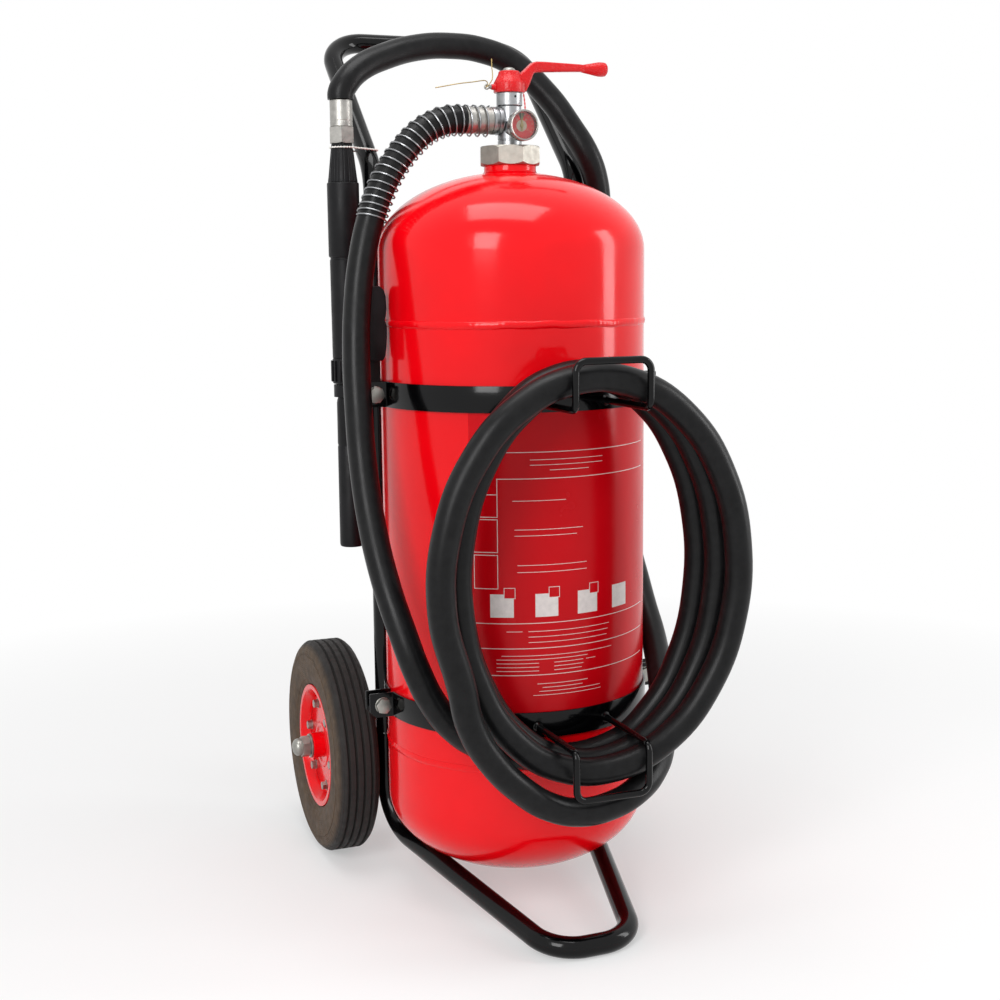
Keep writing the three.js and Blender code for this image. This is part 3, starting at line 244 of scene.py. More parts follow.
def lathe(profile, steps=64, centre=(0, 0, 0), axis="Z", ring=False):
    """A turned body from (radius, height) points; a ring's profile closes on itself."""
    bm = spun(drawn([(r, 0, h) for r, h in profile], ring), 2 * pi, steps, whole=True)
    bmesh.ops.remove_doubles(bm, verts=bm.verts, dist=1e-4)
    return moved(faced(bm), centre, axis)


def peg(radius, low, high, steps=48, centre=(0, 0, 0), axis="Z"):
    """A plain round bar, or the shape of a hole."""
    return lathe([(0, low), (radius, low), (radius, high), (0, high)], steps, centre, axis)


def wrapped(low, high, z0, z1, r0, r1):
    """A sheet round the cylinder, from angle low to high, counted from the front to the right."""
    steps = max(2, ceil((high - low) / WRAP_STEP))
    bm = drawn([(0, -r, z) for r, z in ((r0, z0), (r1, z0), (r1, z1), (r0, z1))], closed=True)
    return faced(filled(spun(turned(bm, low), high - low, steps), 4))


def prism(outline, low, high):
    """A flat outline raised from low to high."""
    bm = drawn([(x, y, low) for x, y in outline], closed=True)
    face = bmesh.ops.contextual_create(bm, geom=bm.edges[:])["faces"]
    raised = bmesh.ops.extrude_face_region(bm, geom=face, use_keep_orig=True)["geom"]
    verts = [v for v in raised if isinstance(v, bmesh.types.BMVert)]
    bmesh.ops.translate(bm, verts=verts, vec=(0, 0, high - low))
    return faced(bm)


def block(x0, x1, y0, y1, z0, z1):
    """A bar with square corners."""
    return prism([(x0, y0), (x1, y0), (x1, y1), (x0, y1)], z0, z1)


def bevelled(bm, edges, width, segments):
    """bm with the given edges rounded."""
    bmesh.ops.bevel(
        bm, geom=edges, offset=width, offset_type="OFFSET", segments=segments,
        profile=0.5, affect="EDGES", material=-1, clamp_overlap=True,
    )
    return bm


def soften(bm, width, segments=2, over=35):
    """bm with the edges rounded that turn by more than over degrees."""
    edges = [e for e in bm.edges if e.is_manifold and e.calc_face_angle(0) > radians(over)]
    return bevelled(bm, edges, width, segments)


def mesh_of(name, bm):
    """The mesh of a drawn shape, whose bmesh is freed."""
    mesh = bpy.data.meshes.new(name)
    bm.to_mesh(mesh)
    bm.free()
    return mesh


def shown(name, data):
    """A new object in the scene."""
    thing = bpy.data.objects.new(name, data)
    bpy.context.scene.collection.objects.link(thing)
    return thing


def together(first, *others):
    """The first shape with the others added to it."""
    for other in others:
        held = mesh_of("joined", other)
        first.from_mesh(held)
        bpy.data.meshes.remove(held)
    return first


def evaluated(thing):
    """The mesh of an object with its modifiers, as a bmesh; the object is removed."""
    bpy.context.view_layer.update()
    final = thing.evaluated_get(bpy.context.evaluated_depsgraph_get())
    result = bpy.data.meshes.new_from_object(final)
    bm = bmesh.new()
    bm.from_mesh(result)
    bpy.data.meshes.remove(result)
    bpy.data.objects.remove(thing)
    return bm


def carved(bm, tool, operation="DIFFERENCE"):
    """bm without the shape of tool; by operation also the two joined, or what they share."""
    body, cutter = [shown("temporary", mesh_of("temporary", part)) for part in (bm, tool)]
    modifier = body.modifiers.new("carve", "BOOLEAN")
    modifier.operation, modifier.solver, modifier.object = operation, "EXACT", cutter
    result = evaluated(body)
    bpy.data.objects.remove(cutter)
    if not result.faces:
        raise RuntimeError("the carving left nothing")
    return result


def hexagon(flats, low, high, sides=6, chamfer=0.9, turn=0):
    """A nut or bolt head with its corners turned off at both ends."""
    corner = flats / 2 / cos(pi / sides)
    outline = [
        (corner * cos(turn + 2 * pi * i / sides), corner * sin(turn + 2 * pi * i / sides))
        for i in range(sides)
    ]
    drop = (corner - flats / 2 + 0.3) * 0.6 * chamfer
    inner, outer = flats / 2 - 0.2, corner + 0.1
    # the cone runs on a millimetre past both ends, so that no two faces lie in one plane
    past = inner - (outer - inner) / drop
    cone = lathe([
        (0, low - 1), (past, low - 1), (outer, low + drop), (outer, high - drop),
        (past, high + 1), (0, high + 1),
    ], 96)
    return carved(prism(outline, low, high), cone, "INTERSECT")


def bent(corners, radii, step=radians(6)):
    """Points of a line through corners, with an arc of its own radius in each inner one."""
    corners = [Vector(c) for c in corners]
    points = [corners[0]]
    for before, corner, after, radius in zip(corners, corners[1:], corners[2:], radii):
        u, v = (before - corner).normalized(), (after - corner).normalized()
        angle = u.angle(v)
        centre = corner + (u + v).normalized() * radius / sin(angle / 2)
        start = corner + u * radius / tan(angle / 2) - centre
        hinge = start.cross(corner + v * radius / tan(angle / 2) - centre).normalized()
        count = max(2, ceil((pi - angle) / step))
        for i in range(count + 1):
            points.append(centre + Matrix.Rotation((pi - angle) * i / count, 3, hinge) @ start)
    points.append(corners[-1])
    return points


def flowing(points, each=6):
    """A smooth line through points, with each steps from one to the next."""
    points = [Vector(p) for p in points]
    ends = [2 * points[0] - points[1], *points, 2 * points[-1] - points[-2]]
    line = []
    for a, b, c, d in zip(ends, ends[1:], ends[2:], ends[3:]):
        for i in range(each):
            t = i / each
            line.append(0.5 * (
                2 * b + (c - a) * t + (2 * a - 5 * b + 4 * c - d) * t * t
                + (3 * b - 3 * c + d - a) * t * t * t
            ))
    return [*line, points[-1]]


def curve_of(name, points, radius, kind="POLY", resolution=6):
    """A round bar or hose as a curve of one open spline."""
    curve = bpy.data.curves.new(name, "CURVE")
    curve.dimensions, curve.use_fill_caps = "3D", True
    curve.bevel_depth, curve.bevel_resolution = radius, resolution
    spline = curve.splines.new(kind)
    if kind == "POLY":
        spline.points.add(len(points) - 1)
        for point, place in zip(spline.points, points):
            point.co = (*place, 1)
    else:
        spline.bezier_points.add(len(points) - 1)
        for point, place in zip(spline.bezier_points, points):
            point.co = place
            point.handle_left_type = point.handle_right_type = "AUTO"
    return shown(name, curve)


def rod(points, radius, resolution=6):
    """A round bar along points."""
    return evaluated(curve_of("bar", points, radius, resolution=resolution))


# ------------------------------------------------------------ putting pieces into the frame
def in_frame(points):
    """Drawn points in metres, on the frame's own axes."""
    return [TO_FRAME @ Vector(p) for p in points]


def dressed(thing, finishes, body, nodes=()):
    """An object with its finishes, on its body, in the place of its CAD nodes."""
    for finish in finishes if isinstance(finishes, list) else [finishes]:
        thing.data.materials.append(finish)
    if nodes:
        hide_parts(*nodes)
    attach(thing, body)
    return thing


def piece(name, bm, finishes, *nodes, body="frame", slot=None, sharp=32):
    """A drawn shape becomes a finished object that rides its body."""
    bmesh.ops.transform(bm, matrix=TO_FRAME, verts=bm.verts)
    bmesh.ops.remove_doubles(bm, verts=bm.verts, dist=1e-6)
    mesh = mesh_of(name, faced(bm))
    mesh.polygons.foreach_set("use_smooth", [True] * len(mesh.polygons))
    mesh.set_sharp_from_angle(angle=radians(sharp))
    return dressed(shown(name, mesh), finishes, body, nodes)


def painted(bm, index):
    """bm with every face given the finish of that number."""
    for face in bm.faces:
        face.material_index = index
    return bm


# ------------------------------------------------------------ finishes
def add_node(tree, kind, inputs=None, **settings):
    """Adds a node, its settings and what its inputs take: a value or another node's output."""
    node = tree.nodes.new(kind)
    for name, value in settings.items():
        setattr(node, name, value)
    for name, value in (inputs or {}).items():
        if isinstance(value, bpy.types.NodeSocket):
            tree.links.new(value, node.inputs[name])
        else:
            node.inputs[name].default_value = value
    return node


def started(name, even):
    """A new material, its shader with the values that are even all over it, and the piece's own
    coordinates in metres."""
    material = bpy.data.materials.new(name)
    material.use_nodes = True
    tree = material.node_tree
    tree.nodes.clear()
    shader = add_node(tree, "ShaderNodeBsdfPrincipled", even)
    add_node(tree, "ShaderNodeOutputMaterial", {"Surface": shader.outputs["BSDF"]})
    coords = add_node(tree, "ShaderNodeTexCoord").outputs["Object"]
    return material, tree, shader, coords


def mottle(tree, coords, size, low, high, detail=3.0):
    """Soft noise of a size in millimetres, run from low to high."""
    cloud = add_node(tree, "ShaderNodeTexNoise", {
        "Vector": coords, "Scale": 1 / (size * MM), "Detail": detail, "Roughness": 0.55,
    })
    return add_node(tree, "ShaderNodeMapRange", {
        "Value": cloud.outputs["Fac"], "From Min": 0.3, "From Max": 0.7,
        "To Min": low, "To Max": high,
    }).outputs["Result"]


def dress(tree, shader, spread, tones, rough, reliefs):
    """Gives a shader two tones by a pattern, an uneven gloss, and bumps of a depth in mm."""
    tone = add_node(tree, "ShaderNodeMix", {
        "Factor": spread, 6: rgba(tones[0]), 7: rgba(tones[1]),
    }, data_type="RGBA")
    tree.links.new(tone.outputs[2], shader.inputs["Base Color"])
    tree.links.new(rough, shader.inputs["Roughness"])
    bumped = None
    for height, depth in reliefs:
        inputs = {"Height": height, "Distance": depth * MM}
        if bumped:
            inputs["Normal"] = bumped
        bumped = add_node(tree, "ShaderNodeBump", inputs).outputs["Normal"]
    tree.links.new(bumped, shader.inputs["Normal"])


def uneven(name, tones, tone, rough, relief, even):
    """A finish whose tone, gloss and relief are soft noise: tone and rough are (size, low, high,
    detail), and relief is (size, depth, detail), with sizes and depth in millimetres."""
    material, tree, shader, coords = started(name, even)
    size, depth, detail = relief
    dress(tree, shader, mottle(tree, coords, *tone), tones, mottle(tree, coords, *rough),
          [(mottle(tree, coords, size, 0, 1, detail), depth)])
    return material


def once(make):
    """A finish is made the first time that a piece asks for it, and found by its name after."""
    @wraps(make)
    def found(name, *rest, **options):
        return bpy.data.materials.get(name) or make(name, *rest, **options)
    return found


def shades(base, darker):
    """A colour made darker."""
    return [c * darker for c in base]


@once
def enamel(name, base, rough=(0.12, 0.2), coat=0.16, peel=0.02, level=0.2, wave=3):
    """Stoving enamel, sprayed and baked: deep gloss with wiped smears, and an orange peel of
    faint waves, wave millimetres across and peel deep."""
    return uneven(name, (base, shades(base, 0.9)), (120, 0, 1), (35, *rough, 6), (wave, peel, 1), {
        "IOR": 1.5, "Specular IOR Level": level, "Coat Weight": coat, "Coat Roughness": 0.05,
    })


@once
def metal(name, base, rough, dull=0.75, grain=0.6, depth=0.01, patch=14):
    """Bare or plated metal with uneven sheen: darker, rougher patches and a fine grain."""
    return uneven(name, (base, shades(base, dull)), (patch, 0, 1, 5), (patch * 0.6, *rough, 5),
                  (grain, depth, 2), {"Metallic": 1.0})


@once
def turned_metal(name, base, rough, height, pitch=0.9, depth=0.012):
    """Metal from the lathe: rings of a pitch in millimetres, counted from a height."""
    material, tree, shader, coords = started(name, {"Metallic": 1.0})
    local = add_node(tree, "ShaderNodeVectorMath", {
        0: coords, 1: (0, AXIS_Y, height * MM),
    }, operation="SUBTRACT").outputs[0]
    # the tool's feed is 0.3 mm; the rings are drawn coarser so that they show
    rings = add_node(tree, "ShaderNodeTexWave", {
        "Vector": local, "Scale": WAVE_SCALE / (pitch * MM), "Distortion": 0.4, "Detail": 2.0,
        "Detail Scale": 3.0,
    }, wave_type="BANDS", bands_direction="Z").outputs["Fac"]
    dress(tree, shader, mottle(tree, coords, 9, 0, 1, 5), (base, shades(base, 0.8)),
          mottle(tree, coords, 6, *rough, 5), [(rings, depth)])
    return material


@once
def moulded(name, base, rough=(0.34, 0.5), grain=0.8, depth=0.03, lighter="2c2c2e"):
    """Injection-moulded plastic: an even, slightly grained skin with handled, shinier places."""
    return uneven(name, (base, linear(lighter)), (22, 0, 0.18, 6), (16, *rough, 4),
                  (grain, depth, 2), {"IOR": 1.46, "Specular IOR Level": 0.2})


@once
def hose_cover(name, base):
    """Hose rubber: satin black, with faint scuffs and the print of its cloth wrapping."""
    material, tree, shader, coords = started(name, {"IOR": 1.52, "Specular IOR Level": 0.17})
    cloth = add_node(tree, "ShaderNodeTexVoronoi", {
        "Vector": coords, "Scale": 1 / (1.6 * MM), "Randomness": 0.7,
    }, feature="F1").outputs["Distance"]
    dress(tree, shader, mottle(tree, coords, 9, 0, 0.2, 8), (base, linear("2b2b2c")),
          mottle(tree, coords, 40, 0.28, 0.42, 5), [(cloth, 0.06)])
    return material


@once
def tyre_rubber(name, tread, side):
    """Solid moulded rubber: dusty brown walls with the mould's rings, and a blacker tread."""
    material, tree, shader, coords = started(name, {"Specular IOR Level": 0.3})
    local = add_node(tree, "ShaderNodeVectorMath", {
        0: coords, 1: (0, -AXLE_Y * MM - AXIS_Y, -AXLE_Z * MM),
    }, operation="ADD").outputs[0]
    # the rings are 2.4 mm apart, coarser than the real ones so that they show
    rings = add_node(tree, "ShaderNodeTexWave", {
        "Vector": local, "Scale": WAVE_SCALE / (2.4 * MM), "Distortion": 0.6, "Detail": 2.0,
    }, wave_type="RINGS", rings_direction="X").outputs["Fac"]
    # the wall's colour runs out towards the tread, by the distance from the axle
    flat = add_node(tree, "ShaderNodeVectorMath", {
        0: local, 1: (0, 1, 1),
    }, operation="MULTIPLY").outputs[0]
    reach = add_node(tree, "ShaderNodeVectorMath", {0: flat}, operation="LENGTH").outputs["Value"]
    wall = add_node(tree, "ShaderNodeMapRange", {
        "Value": reach, "From Min": 0.1375, "From Max": 0.131, "To Min": 0.08, "To Max": 1.0,
    }).outputs["Result"]
    dusty = add_node(tree, "ShaderNodeMath", {
        0: wall, 1: mottle(tree, coords, 14, 0.5, 1.0, 8),
    }, operation="MULTIPLY").outputs[0]
    dress(tree, shader, dusty, (tread, side), mottle(tree, coords, 10, 0.6, 0.85, 5),
          [(rings, 0.35), (mottle(tree, coords, 1.2, 0, 1, 3), 0.08)])
    return material


@once
def label_film(name, base):
    """Printed vinyl film: a flatter gloss than the enamel, and a slightly deeper red."""
    return uneven(name, (base, shades(base, 0.92)), (90, 0, 1, 2), (60, 0.2, 0.28, 3),
                  (12, 0.03, 1), {"Specular IOR Level": 0.16})


@once
def printed(name, base):
    """Printing ink or card: flat, a little uneven in tone."""
    return uneven(name, (base, shades(base, 0.86)), (6, 0, 1, 4), (4, 0.35, 0.5, 3),
                  (0.8, 0.01, 2), {"Specular IOR Level": 0.3})


@once
def clear_acrylic(name):
    """Turned acrylic window: clear, with wiping marks that only show in its gloss."""
    return uneven(name, ((1, 1, 1), (0.95, 0.97, 0.96)), (8, 0, 1), (5, 0.02, 0.06, 6),
                  (10, 0.006, 1), {
                      "Transmission Weight": 1.0, "IOR": 1.49, "Specular IOR Level": 0.25,
                  })


def red_enamel():
    """Baked on steel sheet: a deep even red that mirrors the lamps in soft shapes."""
    return enamel("Red stoving enamel", list(bpy.context.scene.extinguisher_cylinder.paint))


def black_enamel():
    """Baked on the trolley's steel: near black, with a bright line along every tube and edge."""
    paint = list(bpy.context.scene.extinguisher_trolley.paint)
    return enamel("Black stoving enamel", paint, (0.1, 0.2), coat=0.14, peel=0.025, level=0.16)


def red_casting():
    """Sand-cast metal under paint: a darker red with the sand's grain, about 1.6 mm across."""
    paint = shades(bpy.context.scene.extinguisher_cylinder.paint, 0.72)
    return enamel("Red painted casting", paint, (0.2, 0.34),
                  coat=0.2, peel=0.3, level=0.3, wave=1.6)


def zinc_plate():
    """Plated steel: pale grey, with dull patches that break up its gleam."""
    return metal("Zinc-plated steel", linear("a9a8a2"), (0.32, 0.52), dull=0.7)


def aluminium():
    """Aluminium off the lathe: its fine rings spread the gleam along the part."""
    base = list(bpy.context.scene.extinguisher_valve.metal)
    return turned_metal("Turned aluminium", base, (0.3, 0.42), 900)


def ferrule_metal():
    """Aluminium pressed by dies: small dull patches and a soft gleam."""
    return metal("Crimped aluminium ferrule", linear("b3b1ac"), (0.34, 0.5),
                 dull=0.74, grain=0.9, depth=0.015, patch=7)


def nut_metal():
    """Aluminium with a satin skin: each facet has its own even grey, and none flashes white."""
    return metal("Satin aluminium nut", linear("b2afa6"), (0.46, 0.6),
                 dull=0.78, grain=0.7, depth=0.02, patch=9)


def spring_steel():
    """Drawn steel wire: smooth, so that each turn has a thin bright line."""
    return metal("Drawn spring steel", linear("9c9d9f"), (0.26, 0.4),
                 dull=0.7, grain=0.5, depth=0.006, patch=6)


def polished_steel():
    """Pressed and polished steel: a clear bright rim."""
    return metal("Polished steel case", linear("a3a19d"), (0.2, 0.32), dull=0.8)


def brass_wire():
    """Drawn brass: a dull straw yellow with soft gleams."""
    return metal("Drawn brass wire", linear("b39d68"), (0.3, 0.5), dull=0.7)


def black_plastic():
    """Moulded in one colour: satin black with a fine grain."""
    return moulded("Moulded black plastic", list(bpy.context.scene.extinguisher_nozzle.plastic))


def nitrile_rubber():
    """Pressed rubber ring: flat black."""
    return moulded("Black nitrile seal", linear("161616"), (0.5, 0.65))


def white_nylon():
    """Moulded nylon beads: white with a soft, waxy gleam."""
    return moulded("White nylon", linear("e6e4de"), (0.32, 0.45),
                   grain=1.0, depth=0.02, lighter="ffffff")


def red_nylon():
    """Moulded nylon string: bright red, paler on its bumps."""
    return moulded("Red beaded nylon", linear("c5202a"), (0.3, 0.4),
                   grain=1.6, depth=0.3, lighter="e06a6a")


# ------------------------------------------------------------ stage
def soft_light(name, place, target, size, power):
    """A rectangular lamp at a place that shines on a target."""
    lamp = bpy.data.lights.new(name, "AREA")
    lamp.shape, lamp.size, lamp.size_y, lamp.energy = "RECTANGLE", size[0], size[1], power
    place, target = Vector(place), Vector(target)
    aim = (target - place).to_track_quat("-Z", "Y").to_matrix().to_4x4()
    shown(name, lamp).matrix_world = Matrix.Translation(place) @ aim


def camera_matrix(azimuth, distance, height):
    """Where the camera stands, left of the front, and how it looks at the object."""
    heading = azimuth - YAW
    forward = Vector((sin(heading) * cos(PITCH), cos(heading) * cos(PITCH), -sin(PITCH)))
    right = Vector((cos(heading), -sin(heading), 0))
    up = right.cross(forward)
    across, along = right * cos(ROLL) + up * sin(ROLL), up * cos(ROLL) - right * sin(ROLL)
    facing = Matrix((across, along, -forward)).transposed().to_4x4()
    stand = Vector((-distance * sin(azimuth), AXIS_Y - distance * cos(azimuth), height))
    return Matrix.Translation(stand) @ facing


def looked_at(tree):
    """1 for a ray from the camera, off a glossy piece or through a clear one, and 0 for others."""
    rays = add_node(tree, "ShaderNodeLightPath").outputs
    seen = rays["Is Camera Ray"]
    for kind in ("Is Glossy Ray", "Is Transmission Ray"):
        seen = add_node(tree, "ShaderNodeMath", {
            0: seen, 1: rays[kind],
        }, operation="MAXIMUM").outputs[0]
    return seen


# How far the camera looks down, past the cylinder's axis, and leans.
PITCH, YAW, ROLL = radians(8.8), radians(0.5), radians(-0.6)
FRAMING_SHIFT = 0.003
# Soft lamps: name, place, height that they shine on, size, and share of the key light's power.
LAMPS = (
    ("key_light", (-1.7, -1.9, 1.7), 0.55, (0.9, 1.5), 1),
    ("side_light", (2.0, -0.9, 1.1), 0.5, (0.5, 1.6), 0.45),
    ("top_light", (-0.2, -0.3, 2.6), 0.6, (1.4, 1.0), 0.6),
)
# What the surroundings and the floor give: as a light, and as a white that the camera sees.
PLAIN_LIGHT, WHITE = 0.42, 1.0
FLOOR_RADIUS, FLOOR_DROP = 40, 0.0005


class MakeStage(bpy.types.Operator):
    """Makes the camera, the soft lights, the white surroundings and the floor"""
    bl_idname = "extinguisher.stage"
    bl_label = "Stage"

    def execute(self, context):
        scene, settings = context.scene, context.scene.extinguisher_stage
        scene.view_settings.view_transform = "Standard"
        camera = bpy.data.cameras.new("camera")
        camera.lens, camera.sensor_width, camera.shift_y = settings.lens, 36, FRAMING_SHIFT
        scene.camera = shown("camera", camera)
        scene.camera.matrix_world = camera_matrix(
            settings.azimuth, settings.distance, settings.height,
        )
        for name, place, height, size, share in LAMPS:
            soft_light(name, place, (0, 0, height), size, settings.key * share)
        self.surround(scene)
        self.floor(settings)
        return {"FINISHED"}

    def surround(self, scene):
        """Surroundings that look white, and light the object at a plain level."""
        scene.world = bpy.data.worlds.new("white surroundings")
        scene.world.use_nodes = True
        tree = scene.world.node_tree
        tree.nodes.clear()
        strength = add_node(tree, "ShaderNodeMapRange", {
            "Value": looked_at(tree), "To Min": PLAIN_LIGHT, "To Max": WHITE,
        }).outputs["Result"]
        light = add_node(tree, "ShaderNodeBackground", {
            "Color": (1, 1, 1, 1), "Strength": strength,
        })
        add_node(tree, "ShaderNodeOutputWorld", {"Surface": light.outputs["Background"]})

    def floor(self, settings):
        """A pale floor that fades into the white away from the object, and keeps its shadow."""
        bm = bmesh.new()
        bmesh.ops.create_circle(bm, cap_ends=True, segments=96, radius=FLOOR_RADIUS)
        bmesh.ops.translate(bm, verts=bm.verts, vec=(0, 0, -FLOOR_DROP))
        mesh = mesh_of("floor", bm)
        material, tree, shader, coords = started("Matt white floor", {"Specular IOR Level": 0.1})
        shade = list(settings.floor)
        dress(tree, shader, mottle(tree, coords, 400, 0, 1, 2), (shade, shades(shade, 0.985)),
              mottle(tree, coords, 200, 0.86, 0.94, 2), [(mottle(tree, coords, 4, 0, 1, 1), 0.02)])
        reach = add_node(tree, "ShaderNodeVectorMath", {
            0: coords,
        }, operation="LENGTH").outputs["Value"]
        fade = add_node(tree, "ShaderNodeMapRange", {
            "Value": reach, "From Min": 0.55, "From Max": 1.7, "To Min": 0.4, "To Max": 1.0,
        }).outputs["Result"]
        share = add_node(tree, "ShaderNodeMath", {0: fade, 1: looked_at(tree)},
                         operation="MULTIPLY").outputs[0]
        white = add_node(tree, "ShaderNodeEmission", {"Color": (1, 1, 1, 1), "Strength": WHITE})
        mixed = add_node(tree, "ShaderNodeMixShader", {
            0: share, 1: shader.outputs["BSDF"], 2: white.outputs["Emission"],
        })
        out = next(node for node in tree.nodes if node.type == "OUTPUT_MATERIAL")
        tree.links.new(mixed.outputs["Shader"], out.inputs["Surface"])
        mesh.materials.append(material)
        shown("floor", mesh)


# ------------------------------------------------------------ hose
# The lead from the valve's outlet down to the hung turns.
HOSE_LEAD = [
    (-57.4, 0, 946.3), (-72, 0, 946.3), (-88, 0, 942.8), (-112, 0, 930), (-137, -2, 905),
    (-158, -5, 875), (-177, -10, 833), (-191, -17, 785), (-200, -25, 735), (-206, -36, 680),
    (-209, -50, 620), (-210, -68, 550), (-208, -92, 485), (-203, -124, 425), (-194, -152, 375),
    (-183, -165, 335), (-166, -169, 297), (-141, -168, 264), (-107, -166, 239),
    (-62, -172, 224),
]
# From the front turn, as a loose strand below it, round the right side and over the top.
HOSE_RETURN = [
    (-150, -245.8, 290), (-125, -245.8, 246), (-92, -245.8, 211), (-58, -245.5, 187),
    (-21, -245, 175.6), (17, -244.5, 178),
    (53, -236, 188), (84, -217, 202), (108, -190, 219), (126, -158, 238), (140, -130, 260),
    (153, -100, 280), (164.5, -68, 298), (174, -36, 318), (180, -4, 342), (186, 28, 370),
    (190, 58, 402), (189, 86, 460), (182, 108, 530), (176, 115, 620), (172, 114, 720),
    (168, 109, 800), (164.5, 101, 850), (156, 92, 886), (143, 89, 916), (124.6, 100, 951),
    (99, 120, 994), (57, 136, 1034), (18, 141, 1048), (-23, 140, 1051), (-65, 135, 1047),
    (-113, 125, 1033), (-150, 115, 1015), (-169, 109, 997), (-176, 108, 984), (-176, 108, 977.3),
]
# Three turns hang one before the other: (turns so far, depth, middle, half width, half height).
HUNG_TURNS = [
    (0.00, -181.8, 9, 149, 219), (0.77, -181.8, 9, 149, 219), (1.08, -213.8, 7.5, 158.5, 218),
    (1.81, -213.8, 7.5, 158.5, 218), (2.11, -245.8, -3, 178, 219.5), (3.00, -245.8, -3, 178, 219.5),
]
# The turns start at the lower left, and this is the height of their middle.
FIRST_ANGLE, TURN_COUNT, TURN_POINTS = radians(262), 2.85, 16
COIL_Z = 438
# The guard starts on the ferrule: how far it reaches, its points to a turn, the gap between it
# and the hose, and how far it is shifted to one side of the hose.
GUARD_START = [(-25.6, 0, OUTLET_Z), (-41, 0, OUTLET_Z)]
GUARD_REACH, GUARD_POINTS, GUARD_GAP, GUARD_SAG = 211, 16, 0.8, 0.7


def hung_turns():
    """Centreline of the turns from the lower left, counter-clockwise seen from the front."""
    points = []
    first, last = FIRST_ANGLE, FIRST_ANGLE + 2 * pi * TURN_COUNT
    count = round((last - first) / (2 * pi) * TURN_POINTS)
    for i in range(count + 1):
        angle = first + (last - first) * i / count
        turn = (angle - first) / (2 * pi)
        for (t0, *a), (t1, *b) in zip(HUNG_TURNS, HUNG_TURNS[1:]):
            if t0 <= turn <= t1 + 1e-9:
                share = (turn - t0) / (t1 - t0)
                share = share * share * (3 - 2 * share)
                y, cx, width, height = (p + (q - p) * share for p, q in zip(a, b))
        points.append((cx + width * cos(angle), y, COIL_Z + height * sin(angle)))
    return points


class MakeHose(bpy.types.Operator):
    """Makes the discharge hose from the outlet to the nozzle, and the wire guard on its start"""
    bl_idname = "extinguisher.hose"
    bl_label = "Hose and wire guard"

    def execute(self, context):
        settings = context.scene.extinguisher_hose
        rubber = hose_cover("Extruded hose rubber", list(settings.rubber))
        route = in_frame([*HOSE_LEAD, *hung_turns()[1:], *HOSE_RETURN])
        hose = curve_of("discharge_hose", route, settings.diameter / 2, "BEZIER", 8)
        hose.data.resolution_u = 8
        dressed(hose, rubber, "frame", ["hose_lead", "hose_coil", "hose_return"])
        self.guard(settings)
        return {"FINISHED"}

    def guard(self, settings):
        """Wire wound round the hose, loose on it, from the ferrule down."""
        wire = mm(settings.guard_wire) / 2
        reach = mm(settings.diameter) / 2 + wire + GUARD_GAP
        line = flowing([*GUARD_START, *HOSE_LEAD[:9]], 12)
        steps, total = [0.0], 0.0
        for a, b in zip(line, line[1:]):
            total += (b - a).length
            steps.append(total)
        points, count = [], settings.guard_turns * GUARD_POINTS
        for i in range(count + 1):
            share = i / count
            # the last turns lie closer, where the wire ends
            here = GUARD_REACH * (1.06 * share - 0.06 * share ** 8)
            k = max(j for j, s in enumerate(steps[:-1]) if s <= here)
            share = (here - steps[k]) / (steps[k + 1] - steps[k])
            along = (line[k + 1] - line[k]).normalized()
            side = Vector((0, 1, 0)).cross(along).normalized()
            up = along.cross(side)
            angle = 2 * pi * i / GUARD_POINTS
            # the wire lies on the outside of the bend and hangs clear of the inside
            centre = line[k].lerp(line[k + 1], share) - side * GUARD_SAG
            points.append(centre + (side * cos(angle) + up * sin(angle)) * reach)
        piece("wire_guard", rod(points, wire, 2), spring_steel(), "spring_guard", slot="zinc_steel")


# ------------------------------------------------------------ pressure cylinder and its label
NECK_TOP, NECK_BORE = 906, 22


def quarter(radius, height, steps, start=0.0):
    """Points of a dished head, from the tip outwards."""
    first = asin(start / radius)
    turns = [first + (pi / 2 - first) * i / steps for i in range(steps + 1)]
    return [(radius * sin(a), height * cos(a)) for a in turns]


